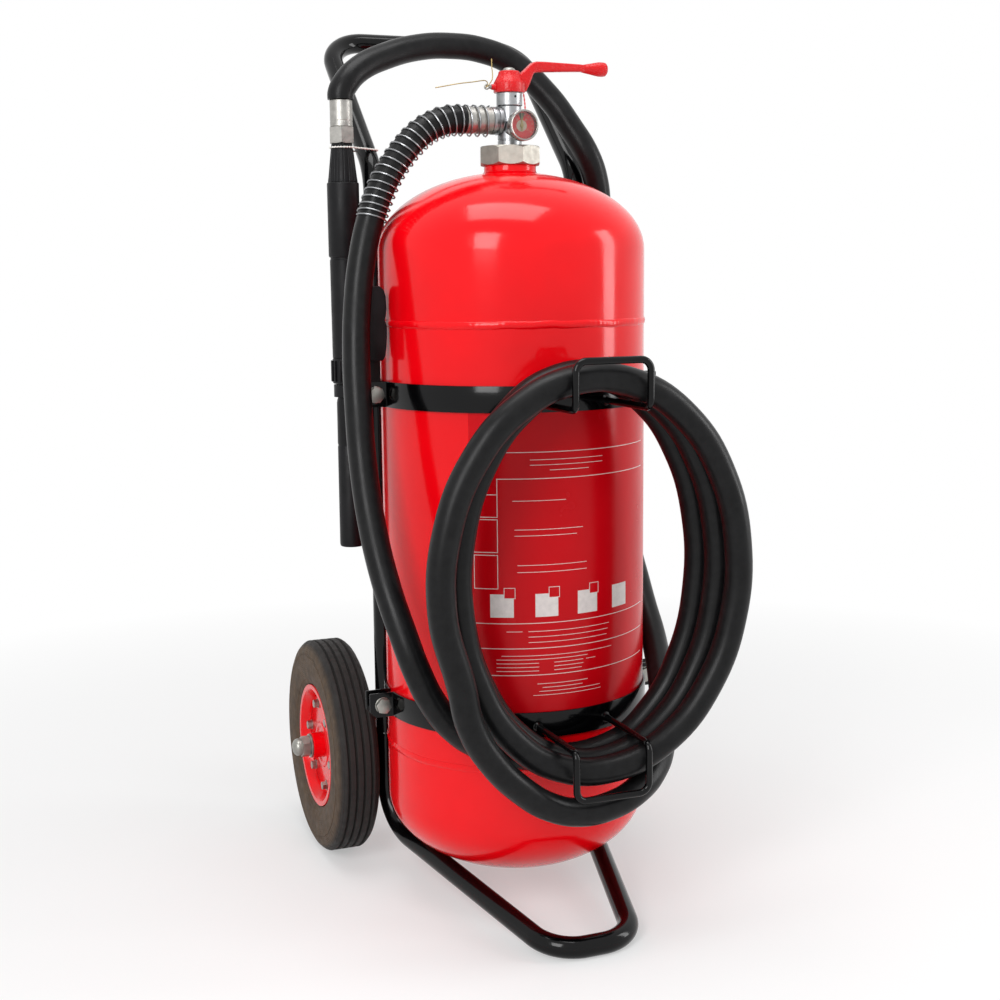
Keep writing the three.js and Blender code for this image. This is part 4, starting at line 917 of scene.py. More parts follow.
class MakeCylinder(bpy.types.Operator):
    """Makes the welded pressure cylinder with its two girth welds and its neck boss"""
    bl_idname = "extinguisher.cylinder"
    bl_label = "Pressure cylinder"

    def execute(self, context):
        settings = context.scene.extinguisher_cylinder
        r, wall, neck = mm(settings.radius), mm(settings.wall), mm(settings.neck_radius)
        low, high = LOWER_HEAD_Z, UPPER_HEAD_Z
        outside = [(a, low - b) for a, b in quarter(r, HEAD_H, 18)]
        for z in WELD_Z:
            outside += [(r, z - 24), (r, z), (r, z + 24)]
        top = [(a, high + b) for a, b in reversed(quarter(r, HEAD_H, 18, neck + 3.2))]
        # the boss rises from a small fillet to its rounded rim, and its bore goes down inside
        foot, rim, bore = top[-1][1], NECK_TOP, NECK_BORE
        boss = [
            (neck + 1.6, foot + 0.7), (neck + 0.5, foot + 2), (neck, foot + 3.8), (neck, rim - 1.4),
            (neck - 0.4, rim - 0.4), (neck - 1.4, rim), (bore, rim), (bore, rim - 22),
        ]
        inside = [(a, high + b) for a, b in quarter(r - wall, HEAD_H - wall, 12, bore)]
        floor = [(a, low - b) for a, b in reversed(quarter(r - wall, HEAD_H - wall, 12))]
        shell = lathe([*outside, *top, *boss, *inside, *floor], SHELL_STEPS)
        piece("pressure_shell", shell, red_enamel(), "cylinder_shell", slot="red_paint")
        for name, z in zip(("lower_girth_weld", "upper_girth_weld"), WELD_Z):
            self.weld(name, z, r, mm(settings.weld))
        return {"FINISHED"}

    def weld(self, name, z, r, height):
        """A hand-run bead: its ripples and its line wander a little."""
        half = [(r - 1, 4.6), (r + 0.1, 4.2), (r + height * 0.6, 2.6)]
        section = [*((a, -b) for a, b in half), (r + height, 0), *reversed(half)]
        bead = lathe([(a, z + b) for a, b in section], 480, ring=True)
        for vert in bead.verts:
            around = atan2(vert.co.y, vert.co.x)
            reach = Vector((vert.co.x, vert.co.y)).length
            ring = Vector((cos(around), sin(around), z * 0.01))
            wander = 1.1 * noise.noise(ring * 5) + 0.4 * noise.noise(ring * 21)
            ripple = 0.16 * sin(around * 150) + 0.3 * noise.noise(ring * 60)
            swell = max(0.0, min(1.0, (reach - r) / height))
            grown = 1 + swell * ripple * height / reach
            vert.co.x *= grown
            vert.co.y *= grown
            vert.co.z += wander
        piece(name, bead, red_enamel(), slot="red_paint", sharp=80)


# The label's ends, and its marks: places go round the cylinder from the front, in millimetres.
LABEL_ENDS = (radians(-40), radians(83))
LINE, THIN_LINE, INK_LIFT = 0.8, 0.6, 0.3
LONG_RULE_END = 142
LONG_RULES = ((569, -80), (539, -80), (372.4, -108), (343, -108), (311.5, -108))
BOX_LEFT, BOX_RIGHT = -107, -79
BOX_HEIGHTS = ((413, 452.5), (455, 493.5), (495.5, 522))
# Short plain rules: height, left end, right end.
SHORT_RULES = (
    (560.5, -42, 50), (554.5, -42, 50), (548.5, -19, 30), (514, -62, 0),
    (481, -60, 22), (474, -60, 14), (440, -57, 27), (432, -57, 27),
    (363, -70, -52), (363, -45, 61), (356.6, -45, 59), (350.2, -45, 57),
    (334.5, -76, 65), (330, -82, 28), (325.5, -82, -33), (325.5, -15, 22), (325.5, 26, 39),
    (321, -82, -33), (321, -15, 22), (316.5, -82, -33), (316.5, -15, 20),
    (301, -35, 28), (296.5, -29, 21), (292, -33, 46), (287.5, -40, 47),
)


class MakeLabel(bpy.types.Operator):
    """Makes the label panel: plain film with thin rules, ruled boxes and blank squares"""
    bl_idname = "extinguisher.label"
    bl_label = "Label panel"

    def execute(self, context):
        settings = context.scene.extinguisher_label
        r = mm(context.scene.extinguisher_cylinder.radius)
        low, high = mm(settings.low), mm(settings.high)
        red_film = label_film("Printed vinyl film", list(settings.film))
        piece("label_film", wrapped(*LABEL_ENDS, low, high, r - 0.4, r + 0.22), red_film,
              slot="red_paint")
        ink = printed("White printing ink", list(settings.ink))
        sheets, bare = [], 1

        def mark(left, right, z0, z1, lift=INK_LIFT, index=0):
            sheet = wrapped(left / r, right / r, z0, z1, r - 0.1, r + lift)
            sheets.append(painted(sheet, index))

        def frame_of(left, right, z0, z1, line=LINE, lift=INK_LIFT):
            mark(left, right, z0, z0 + line, lift)
            mark(left, right, z1 - line, z1, lift)
            mark(left, left + line, z0 + line, z1 - line, lift)
            mark(right - line, right, z0 + line, z1 - line, lift)

        for z, left in LONG_RULES:
            mark(left, LONG_RULE_END, z, z + LINE)
        # a line joins the upper pair of rules to the column of boxes
        mark(BOX_RIGHT - LINE, BOX_RIGHT, 522, 539)
        for z0, z1 in BOX_HEIGHTS:
            frame_of(BOX_LEFT, BOX_RIGHT, z0, z1)
        for i in range(4):
            left = -88.5 + 51.7 * i
            mark(left, left + 27, 380, 407)
            if i < 3:
                # a small framed square of bare film lies over the corner of each but the last
                small = (left + 15.7, left + 28.9, 401.8, 414.6)
                mark(*small, 0.34, bare)
                frame_of(*small, 0.7, 0.38)
        for z, left, right in SHORT_RULES:
            mark(left, right, z, z + THIN_LINE)
        piece("label_rules", together(*sheets), [ink, red_film], slot="white_card")
        return {"FINISHED"}


# ------------------------------------------------------------ bands, hooks and trolley
BAND_INSIDE, BAND_STEPS = 160.9, 72
EAR_TIP, EAR_Y, EAR_BOLT_X = 192, 8.5, 176


def half_band(z, facing, settings):
    """Half a clamp band with an ear folded out at each end; facing is -1 for the front half."""
    height, thick = mm(settings.band_height), mm(settings.band_thickness)
    near, far = EAR_Y - thick / 2, EAR_Y + thick / 2

    def arc(radius, edge):
        first = asin(edge / radius)
        turns = [first + (pi - 2 * first) * i / BAND_STEPS for i in range(BAND_STEPS + 1)]
        return [(radius * cos(a), radius * sin(a)) for a in turns]

    outline = [
        (EAR_TIP, near), *arc(BAND_INSIDE, near), (-EAR_TIP, near), (-EAR_TIP, far),
        *reversed(arc(BAND_INSIDE + thick, far)), (EAR_TIP, far),
    ]
    bm = prism(outline, z - height / 2, z + height / 2)
    for side in (-1, 1):
        # the lower corner of each ear is cut off at a slant
        sliced(bm, (side * (EAR_TIP - 7), 0, z - height / 2), (side, 0, -1))
    soften(faced(bm), 0.5, 2, 50)
    return turned(bm, pi) if facing < 0 else bm


def hex_bolt(side, z):
    """M10 bolt through both ears: flanged head at the front, thread end behind the nut."""
    head = hexagon(17, 10.0, 16.4, turn=0.2 * side)
    washer = lathe([(0, 9.75), (9.6, 9.75), (9.8, 9.95), (9.8, 10.5), (9.4, 10.8), (0, 10.8)], 40)
    shank = lathe([(0, -21), (4.4, -21), (5, -20.2), (5, 10), (0, 10)], 32)
    return moved(together(head, washer, shank), (side * EAR_BOLT_X, 0, z), "-Y")


def hex_nut(side, z):
    """M10 nut behind the ears."""
    nut = carved(hexagon(17, -18, -10, turn=0.4 * side), peg(5.05, -19, -9, 32))
    return moved(nut, (side * EAR_BOLT_X, 0, z), "-Y")


class MakeBands(bpy.types.Operator):
    """Makes the two clamp bands, each in two halves, with their bolts and nuts"""
    bl_idname = "extinguisher.bands"
    bl_label = "Clamp bands and bolts"

    def execute(self, context):
        settings = context.scene.extinguisher_trolley
        for level, z in zip(("lower", "upper"), BAND_Z):
            for half, facing in (("front", -1), ("rear", 1)):
                piece(f"{level}_{half}_clamp", half_band(z, facing, settings), black_enamel(),
                      f"{level}_band_{half}", slot="black_paint")
            for hand, side in HANDS:
                for part, make in (("bolt", hex_bolt), ("nut", hex_nut)):
                    piece(f"{level}_{hand}_hex_{part}", make(side, z), zinc_plate(),
                          f"{level}_{part}_{hand}", slot="zinc_steel")
        return {"FINISHED"}


class MakeHooks(bpy.types.Operator):
    """Makes the two bent-rod hooks that the hose hangs on"""
    bl_idname = "extinguisher.hooks"
    bl_label = "Hose hooks"

    def execute(self, context):
        radius = mm(context.scene.extinguisher_trolley.rod) / 2
        # the rod leaves the cylinder at two places, and its lip hangs down or stands up in front
        (left, left_y), (right, right_y), front = (-36, -160.6), (52, -155.6), -267.7
        for level, z, lip in (("lower", 251.7, -55), ("upper", 624.6, 52)):
            corners = [
                (left, left_y, z), (left, front, z), (left, front, z + lip),
                (right, front, z + lip), (right, front, z), (right, right_y, z),
            ]
            bar = rod(bent(corners, [10, 12, 12, 10], radians(9)), radius)
            for x, y in ((left, left_y), (right, right_y)):
                weld = lathe([(0, 0), (6.4, 0), (6.2, 0.8), (5.1, 2.2), (4.2, 4.2), (0, 5)], 24)
                together(bar, moved(weld, (x, y - 0.2, z), "-Y"))
            piece(f"{level}_rod_hook", bar, black_enamel(), f"{level}_hose_hook",
                  slot="black_paint")
        return {"FINISHED"}


class MakeTrolley(bpy.types.Operator):
    """Makes the trolley's tube, from the handle down to the foot, with its axle plates"""
    bl_idname = "extinguisher.trolley"
    bl_label = "Trolley frame"

    def execute(self, context):
        radius = mm(context.scene.extinguisher_trolley.tube) / 2
        x, y = UPRIGHT_X, UPRIGHT_Y

        def loop(end, turn, far):
            """A tube bent through the loop's left corners and their mirror images."""
            left = [(-x, y, end), (-x, y, turn), far]
            right = [(-a, b, c) for a, b, c in reversed(left)]
            return rod(bent([*left, *right], [65, 50, 50, 65]), radius, 10)

        piece("handle_tube", loop(180.3, 893, (-138, 307, 1074)), black_enamel(), "handle_loop",
              slot="black_paint")
        # the foot is flattened where it lies on the ground
        foot = sliced(loop(180, 60, (-50, -236, 11.8)), (0, 0, 0), (0, 0, -1))
        seam = [(12.2, -2.6), (12.7, -2), (13.3, -0.6), (13.3, 0.8), (12.7, 2), (12.2, 2.6)]
        for side in (-1, 1):
            together(foot, lathe(seam, 40, (side * x, y, 180.1), ring=True))
        piece("foot_tube", foot, black_enamel(), "foot_loop", slot="black_paint")
        for hand, side in HANDS:
            self.plate(hand, side)
        return {"FINISHED"}

    def plate(self, hand, side):
        """Gusset plate from an upright back to the axle, with its two short weld beads."""
        back = UPRIGHT_Y + 12.8
        outline = [
            (back, 96), (back + 22, 96), (AXLE_Y - 10, AXLE_Z - 24), (AXLE_Y + 18, AXLE_Z - 18),
            (AXLE_Y + 18, AXLE_Z + 18), (AXLE_Y - 12, AXLE_Z + 24), (back, 205),
        ]
        bm = prism(outline, -2.5, 2.5)
        corners = [e for e in bm.edges if abs(e.verts[0].co.z - e.verts[1].co.z) > 4]
        soften(bevelled(bm, corners, 6, 5), 0.5, 2, 50)
        stand = Matrix(((0, 0, 1, side * UPRIGHT_X), (1, 0, 0, 0), (0, 1, 0, 0), (0, 0, 0, 1)))
        bmesh.ops.transform(bm, matrix=stand, verts=bm.verts)
        for z in (101, 200):
            bead = lathe([(0, 0), (2.2, 0), (2.4, 8), (1.2, 12), (0, 12)], 12)
            together(bm, moved(bead, (side * (UPRIGHT_X - 2.5), back + 0.4, z - 6)))
        piece(f"{hand}_axle_plate", bm, black_enamel(), f"axle_bracket_{hand}",
              slot="black_paint")


# ------------------------------------------------------------ running gear
# Section of a rim half where it holds the tyre, and the radius that its bolts stand on.
RIM_DRUM = (
    (72.4, 4.5), (75.4, 19), (78, 21.4), (81.6, 21.8), (82, 22.6), (81.6, 24.2), (80, 24.5),
    (75.6, 24), (73.4, 21.5), (70.2, 6.2),
)
RIM_BOLTS = 55


class MakeWheels(bpy.types.Operator):
    """Makes the axle, its spacers and the two wheels: tyre, both rim halves and hub nut"""
    bl_idname = "extinguisher.wheels"
    bl_label = "Axle and wheels"

    def execute(self, context):
        settings = context.scene.extinguisher_wheels
        bar = lathe([(0, -229), (8.8, -229), (10, -227.8), (10, 227.8), (8.8, 229), (0, 229)],
                    40, (0, AXLE_Y, AXLE_Z), "X")
        piece("axle_bar", bar, zinc_plate(), "axle", slot="zinc_steel")
        rubber = tyre_rubber("Solid tyre rubber", list(settings.tread), list(settings.side))
        for hand, side in HANDS:
            axis = "X" if side > 0 else "-X"
            hub = (side * WHEEL_X, AXLE_Y, AXLE_Z)
            body = f"wheel_{hand}"
            sleeve = lathe([(10.3, -43.2), (15, -43.2), (15, -29.3), (10.3, -29.3)], 40, hub, axis,
                           ring=True)
            piece(f"{hand}_spacer", soften(sleeve, 0.3), zinc_plate(), f"axle_spacer_{hand}",
                  slot="zinc_steel")
            piece(f"{hand}_tyre", self.tyre(settings, hub, axis), rubber, f"tyre_{hand}",
                  body=body, slot="tyre_rubber")
            for part, make in (("outer", self.outer_rim), ("inner", self.inner_rim)):
                piece(f"{hand}_{part}_rim", moved(make(), hub, axis), [red_enamel(), zinc_plate()],
                      f"rim_{part}_{hand}", body=body, slot="red_paint")
            piece(f"{hand}_hub_nut", self.hub_nut(hub, axis), zinc_plate(), f"hub_nut_{hand}",
                  slot="zinc_steel")
        return {"FINISHED"}

    def tyre(self, settings, hub, axis):
        """Section of the tyre from the rim seat round the walls and the grooved tread."""
        r, w = mm(settings.radius), mm(settings.width) / 2
        wall = [(radius, w - inset) for radius, inset in (
            (82.3, 7), (84, 5.2), (87, 4.2), (89.5, 3.6), (90.6, 2.5), (93, 2.3), (94, 1.7),
            (104, 0.5), (114, 0), (121, 0.2), (122, 1.1), (124, 1.1), (125, 0.6), (131, 1.8),
            (135.5, 4), (138.5, 7), (140.3, 9.4), (r, 11),
        )]
        groove = ((0, 2.1), (0.5, 1.6), (3.4, 0.9), (3.9, 0), (3.4, -0.9), (0.5, -1.6), (0, -2.1))
        tread = [(r - depth, u + across) for u in (15, 5, -5, -15) for depth, across in groove]
        other = [(a, -b) for a, b in reversed(wall)]
        return lathe([*wall, *tread, *other], 128, hub, axis, ring=True)

    def outer_rim(self):
        """Outer pressed half: dished, with six bolts."""
        bm = lathe([
            (17.3, 11.1), (61, 11.1), (63.4, 10), (65.4, 4.4), (66.4, 1.2), (67.6, 0.35), (70, 1.6),
            *RIM_DRUM, (69.2, 4.2), (68.4, 3.8), (67.8, 5), (65.6, 12.2), (62.8, 13.6), (31, 13.6),
            (29, 15.1), (25, 15.1), (23, 13.6), (17.3, 13.6),
        ], 96, ring=True)
        for i in range(6):
            angle = radians(17) + 2 * pi * i / 6
            at = (RIM_BOLTS * cos(angle), RIM_BOLTS * sin(angle), 0)
            bolt = together(hexagon(10, 14.2, 20.2, turn=0.3 * i), peg(6.6, 13.5, 14.4, 28))
            together(bm, painted(moved(bolt, at), 1))
        return bm

    def inner_rim(self):
        """Inner pressed half, which carries the hub tube."""
        section = [
            (17.3, 0.35), (66.5, 0.35), (70, 1.6), *RIM_DRUM, (68.4, 3.6), (65.6, 2.85),
            (31, 2.85), (29, 4.4), (25, 4.4), (23, 2.85), (17.3, 2.85),
        ]
        bm = lathe([(a, -b) for a, b in section], 96, ring=True)
        for part in (
            [(10.3, -29), (16.6, -29), (17, -28.6), (17, 28.6), (16.6, 29), (10.3, 29)],
            [(16.5, -3.4), (21, -3.4), (19.6, -6.4), (16.5, -7.6)],
        ):
            together(bm, lathe(part, 48, ring=True))
        return bm

    def hub_nut(self, hub, axis):
        """Washer, hexagon and dome on the end of the axle."""
        washer = lathe([
            (10.3, 29.3), (15.6, 29.3), (16, 29.6), (16, 31.4), (15.6, 31.8), (10.3, 31.8),
        ], 48, ring=True)
        dome = lathe([
            (0, 43), (11.6, 43), (11.6, 47.6), (11, 50), (9.3, 52), (6.6, 53.6), (3.4, 54.3),
            (0, 54.5),
        ], 48)
        nut = carved(hexagon(25.2, 31.8, 43.3), peg(10.2, 30, 47.4, 40))
        return moved(together(washer, nut, dome), hub, axis)


# ------------------------------------------------------------ valve
# Diameters of the brass wire and of the red string, in metres.
SEAL_WIRE, STRING = 0.0012, 0.002


class MakeValve(bpy.types.Operator):
    """Makes the collar nut, the valve's body and its bonnet"""
    bl_idname = "extinguisher.valve"
    bl_label = "Valve and collar nut"

    def execute(self, context):
        r = mm(context.scene.extinguisher_valve.barrel)
        bore = lathe([
            (0, 894), (28.4, 894), (28.4, 913.5), (r + 0.7, 913.5), (r + 0.7, 919), (0, 919),
        ])
        nut = carved(hexagon(69.6, 894.6, 916.8, sides=8, chamfer=1.6, turn=0.05), bore)
        piece("collar_ring_nut", nut, nut_metal(), "collar_nut", slot="aluminium")
        # from the spigot in the neck, over the flange and up the barrel, and down its bores
        body = lathe([
            (11.4, 883.6), (21.4, 883.6), (21.4, 908.6), (26.5, 908.6), (26.5, 913.2),
            (18.2, 913.3), (r + 0.6, 914.2), (r, 916), (r, 923), (r - 0.5, 923.5),
            (r - 0.5, 924.6), (r, 925.1), (r, 962.6), (r - 0.7, 963.3), (12.3, 963.3),
            (12.3, 956.5), (10, 956.5), (10, 930.3), (6.5, 930.3), (6.5, 926.3), (9.5, 926.3),
            (9.5, 897.3), (7, 897.3), (7, 894.3), (11.4, 894.3),
        ], 96, ring=True)
        outlet = lathe([(11.5, 11.5), (14, 11.5), (14, 23.6), (13.6, 24), (8, 24), (8, 11.5)], 64,
                       (0, 0, OUTLET_Z), "-X", ring=True)
        boss = lathe([
            (11, 11), (10.2, 14.6), (8.6, 16.4), (8, 18), (8, 21.6), (7.6, 22), (0, 22),
        ], 48)
        boss = moved(together(boss, hexagon(15, 17.6, 21.4)), (0, 0, GAUGE_Z), "-Y")
        piece("valve_barrel", together(body, outlet, boss), aluminium(), "valve_body",
              slot="aluminium")
        bonnet = lathe([
            (4.1, 956.8), (12, 956.8), (12, 963.6), (14.4, 963.6), (15.3, 964.4), (15.3, 977.9),
            (14.8, 978.6), (14.4, 978.6), (14.4, 983.1),
            (10.9, 983.1), (10.9, 987.1), (14.4, 987.1), (14.4, 989.6), (13.9, 990.1), (4.1, 990.1),
        ], 96, ring=True)
        vent = turned(peg(1.4, 8, 23, 20, (0, 0, 973.6), "-Y"), radians(6.4))
        piece("valve_top", carved(bonnet, vent), aluminium(), "valve_bonnet", slot="aluminium")
        return {"FINISHED"}


class MakeLever(bpy.types.Operator):
    """Makes the cast cap with its lever, the dome screw, the locking pin and the seal wire"""
    bl_idname = "extinguisher.lever"
    bl_label = "Lever, pin and seal"

    def execute(self, context):
        r = mm(context.scene.extinguisher_valve.cap)
        cap = lathe([
            (0, 0), (r - 0.8, 0), (r - 0.2, 0.4), (r, 1.2), (r, 10.6), (r - 0.5, 12),
            (r - 1.8, 14.2), (r - 4.2, 18.6), (r - 5.6, 21.2), (r - 5.9, 23.4), (r - 6.6, 24.6),
            (r - 8.2, 25.2), (0, 25.2),
        ], 64, (0, 0, CAP_Z))
        for i in range(12):
            rib = soften(block(12, r + 0.3, -1.1, 1.1, CAP_Z + 1.6, CAP_Z + 11), 0.8)
            together(cap, turned(rib, 2 * pi * (i + 0.5) / 12))
        bulb = lathe([
            (0, 94), (4.3, 94), (5, 97), (5.8, 101.5), (6.8, 107), (7.8, 112), (8.5, 116.4),
            (8.6, 121.4), (8, 124.8), (6.4, 126.4), (3.6, 127), (0, 127),
        ], 40, (0, 0, LEVER_Z - 0.6), "X")
        lug = lathe([
            (1.85, 15.2), (4.2, 15.2), (3.6, 20), (3.2, 22.2), (2.6, 22.8), (1.85, 22.8),
        ], 32, (0, 0, PIN_Z), "-X", ring=True)
        pin_hole = peg(1.8, 10, 25.5, 20, (0, 0, PIN_Z), "-X")
        solid = [carved(carved(part, self.hollow()), pin_hole.copy()) for part in (cap, self.arm())]
        pin_hole.free()
        piece("cast_lever", together(*solid, bulb, lug), red_casting(), "valve_handle",
              body="handle", slot="red_paint")
        screw = lathe([
            (0, 996.2), (3, 996.2), (3, 1004.3), (7.2, 1004.3), (7.6, 1004.6), (7.4, 1005.5),
            (6.4, 1006.7), (4.6, 1007.7), (2.4, 1008.2), (0, 1008.3),
        ], 40)
        six = [(2.2 * cos(pi * i / 3), 2.2 * sin(pi * i / 3)) for i in range(6)]
        socket = prism(six, 1006.4, 1010)
        piece("dome_screw", carved(screw, socket), zinc_plate(), "handle_screw", body="handle",
              slot="zinc_steel")
        self.pin()
        return {"FINISHED"}

    def hollow(self):
        """The room inside the cap for the bonnet and the screw."""
        return lathe([
            (0, -1), (14.9, -1), (14.9, 11.5), (4.1, 11.5), (4.1, 17.1), (3.3, 17.1),
            (3.3, 29), (0, 29),
        ], 48, (0, 0, CAP_Z))

    def arm(self):
        """Cranked arm: its side outline raised to its width, then rounded all along."""
        outline = [(x, LEVER_Z + up) for x, up in (
            (10, -30), (18, -31), (20, -30), (24.6, -21), (29.6, -9.4), (33.4, -7.2),
            (44, -6.3), (62, -5.5), (90, -4.5), (100, -4.4), (100, 3.6), (90, 4.2),
            (62, 4.8), (45, 5.2), (34, 5.1), (29, 3.9), (24, -0.6), (18, -5.8),
            (13, -9.6), (10, -13),
        )]
        bm = prism(outline, -6.5, 6.5)
        for vert in bm.verts:
            # the arm narrows by three tenths towards its far end
            vert.co.z *= 1 - 0.3 * max(0.0, min(1.0, (vert.co.x - 24) / 60))
        return turned(soften(bm, 2.2, 4, 60), pi / 2, "X")

    def pin(self):
        """Locking pin with a collar and an eye, and the brass wire through the eye."""
        straight = lathe([(0, 11.5), (0.9, 11.5), (1.5, 12.4), (1.5, 26), (0, 26)], 24,
                         (0, 0, PIN_Z), "-X")
        collar = lathe([
            (0, 23.1), (2.3, 23.1), (2.6, 23.4), (2.6, 24.3), (2.3, 24.6), (0, 24.6),
        ], 32, (0, 0, PIN_Z), "-X")
        turns = [2 * pi * i / 32 for i in range(33)]
        eye = [(-28.5 + 2.7 * cos(a), 0, PIN_Z + 2.7 * sin(a)) for a in turns]
        piece("locking_pin", together(straight, collar, rod(eye, 0.8, 4)), zinc_plate(),
              "safety_pin", body="pin", slot="zinc_steel")
        tails = [
            (-22.4, -1, 1017.2), (-22, -0.6, 1008), (-21, -0.2, 1000), (-21.6, -0.2, 993.6),
            (-25.2, -0.6, 988.4), (-28.2, -0.9, 985.4), (-29.4, 0.4, 984.4), (-28.2, 1.7, 986.2),
            (-26.6, 2, 990), (-29.6, 1.6, 992.4), (-36, 1, 991.8), (-46, 0, 990),
            (-58, -0.6, 988.4), (-70, -0.4, 986.4), (-81, 0.6, 984.2), (-92, 1.5, 982.2),
        ]
        line = in_frame(flowing(tails, 2))
        wire = curve_of("seal_wire", line, SEAL_WIRE / 2, resolution=3)
        dressed(wire, brass_wire(), "pin")


class MakeGauge(bpy.types.Operator):
    """Makes the pressure gauge: case, printed dial, needle and window, and the red string on it"""
    bl_idname = "extinguisher.gauge"
    bl_label = "Pressure gauge"

    def execute(self, context):
        settings = context.scene.extinguisher_valve
        r, at = mm(settings.gauge), (0, 0, GAUGE_Z)
        case = lathe([
            (0, 22.3), (5.2, 22.3), (5.2, 34.5), (r - 2, 34.5), (r - 0.6, 35), (r, 36.2), (r, 43.6),
            (r - 0.3, 44.2), (r - 0.3, 44.8), (r, 45.4), (r, 46.6), (r - 0.5, 47.3),
            (r - 1.2, 47.5), (r - 2.2, 47.1), (r - 2.5, 46.3), (r - 1.1, 46.2), (r - 1.1, 35.6),
            (0, 35.6),
        ], 72, at, "-Y")
        piece("gauge_housing", case, polished_steel(), "gauge_case", slot="zinc_steel")
        self.dial(settings, r, at)
        needle = prism([
            (-1.2, -6), (1.2, -6), (0.9, 2), (0.3, 13.6), (-0.3, 13.6), (-0.9, 2),
        ], 37.7, 38.5)
        hub = lathe([
            (0, 36.3), (0.7, 36.3), (0.7, 37.4), (2.2, 37.4), (2.2, 38.6), (1.8, 39), (0, 39.1),
        ], 24)
        piece("gauge_needle", moved(together(needle, hub), at, "-Y"), brass_wire(), "gauge_pointer",
              body="pointer", slot="brass")
        window = lathe([
            (0, 44.6), (r - 1.5, 44.6), (r - 1.5, 45.6), (r - 2, 46), (0, 46.1),
        ], 64, at, "-Y")
        piece("gauge_window", window, clear_acrylic("Clear acrylic window"), "gauge_lens",
              slot="lens")
        self.string()
        return {"FINISHED"}

    def dial(self, settings, r, at):
        """Red card with a green sector round 12 o'clock, a pale middle, ticks and plain numbers."""
        face = 37.12
        inks = [printed("Red dial print", list(settings.dial)),
                printed("Green dial print", linear("4f5f42")),
                printed("Pale dial print", linear("c9b9a4"))]
        red, green, pale = range(3)
        bm = painted(lathe([(1, 35.9), (r - 1.5, 35.9), (r - 1.5, 37), (1, 37)], ring=True), red)

        def sector(inner, outer, low, high, index, lift):
            edge = drawn([(inner, 0, face + lift), (outer, 0, face + lift)])
            spun(turned(edge, pi / 2 - high), high - low, 24)
            bmesh.ops.solidify(edge, geom=edge.faces[:], thickness=0.05)
            return painted(edge, index)

        sheets = [sector(7, r - 3.4, radians(-14), radians(14), green, 0.02),
                  sector(0.9, 6.6, -pi, pi - 0.001, pale, 0.04)]
        for i in range(13):
            angle = radians(-120 + 20 * i)
            sheets.append(sector(r - 5.4, r - 3.2, angle - 0.02, angle + 0.02, pale, 0.07))
        for i, number in enumerate(("0", "10", "20", "25")):
            angle = radians(-120 + 80 * i)
            figure = self.number(number, (8.6 * sin(angle), 8.6 * cos(angle), face + 0.1))
            sheets.append(painted(figure, pale))
        piece("dial_card", moved(together(bm, *sheets), at, "-Y"), inks, "gauge_dial",
              slot="white_card")

    def number(self, text, place):
        """Plain raised figures on the dial."""
        letters = bpy.data.curves.new("number", "FONT")
        letters.body, letters.size, letters.extrude = text, 3.2, 0.03
        letters.align_x, letters.align_y = "CENTER", "CENTER"
        return moved(evaluated(shown("number", letters)), place)

    def string(self):
        """Red beaded string: from under the cap's rim down to the gauge and round its stem."""
        loop = [
            (14, -10.5, 977.4), (13.8, -13.6, 970), (12.4, -18.6, 963), (10.4, -23.6, 956),
            (8.4, -27.4, 949.4), (6.8, -28.6, 942.4), (5.6, -28.8, 935), (2.2, -28.8, 931.8),
            (-2.4, -28.6, 931.9), (-5.6, -28.4, 935), (-6.2, -28.2, 939.6), (-3.6, -28, 943.2),
            (0, -27.8, 944.2),
        ]
        line = in_frame(flowing(loop, 3))
        string = curve_of("bead_string", line, STRING / 2, resolution=3)
        # the beads: every other point of the line is pinched
        for point in list(string.data.splines[0].points)[::2]:
            point.radius = 0.5
        dressed(string, red_nylon(), "frame")


class MakeOutlet(bpy.types.Operator):
    """Makes the outlet nut and the crimped ferrule at the hose's first end"""
    bl_idname = "extinguisher.outlet"
    bl_label = "Outlet nut and ferrule"

    def execute(self, context):
        at = (0, 0, OUTLET_Z)
        nut = lathe([
            (14.3, 24), (16, 24), (16.1, 23.7), (16.1, 19.8), (15.4, 19.3), (14.8, 19),
            (14.8, 17.5), (15.4, 17.3), (16.6, 16.8), (16.7, 16.4), (16.7, 12.6), (16.4, 12.2),
            (14.3, 12.2),
        ], 72, ring=True)
        room = peg(16.3, -30, 30, 64, at)
        piece("outlet_ring_nut", carved(moved(nut, at, "-X"), room), aluminium(), "outlet_nut",
              slot="aluminium")
        section = [(8, 24.3), (15.2, 24.3), (15.6, 24.7), (15.6, 34.2)]
        for u in (35.2, 45.6):
            section += [(15.6, u - 1.4), (14.5, u - 0.8), (14.5, u + 0.8), (15.6, u + 1.4)]
        section += [(15.6, 56.4), (15.1, 56.9), (8, 56.9)]
        piece("crimped_ferrule", lathe(section, 72, at, "-X", ring=True), ferrule_metal(),
              "outlet_ferrule", slot="aluminium")
        return {"FINISHED"}


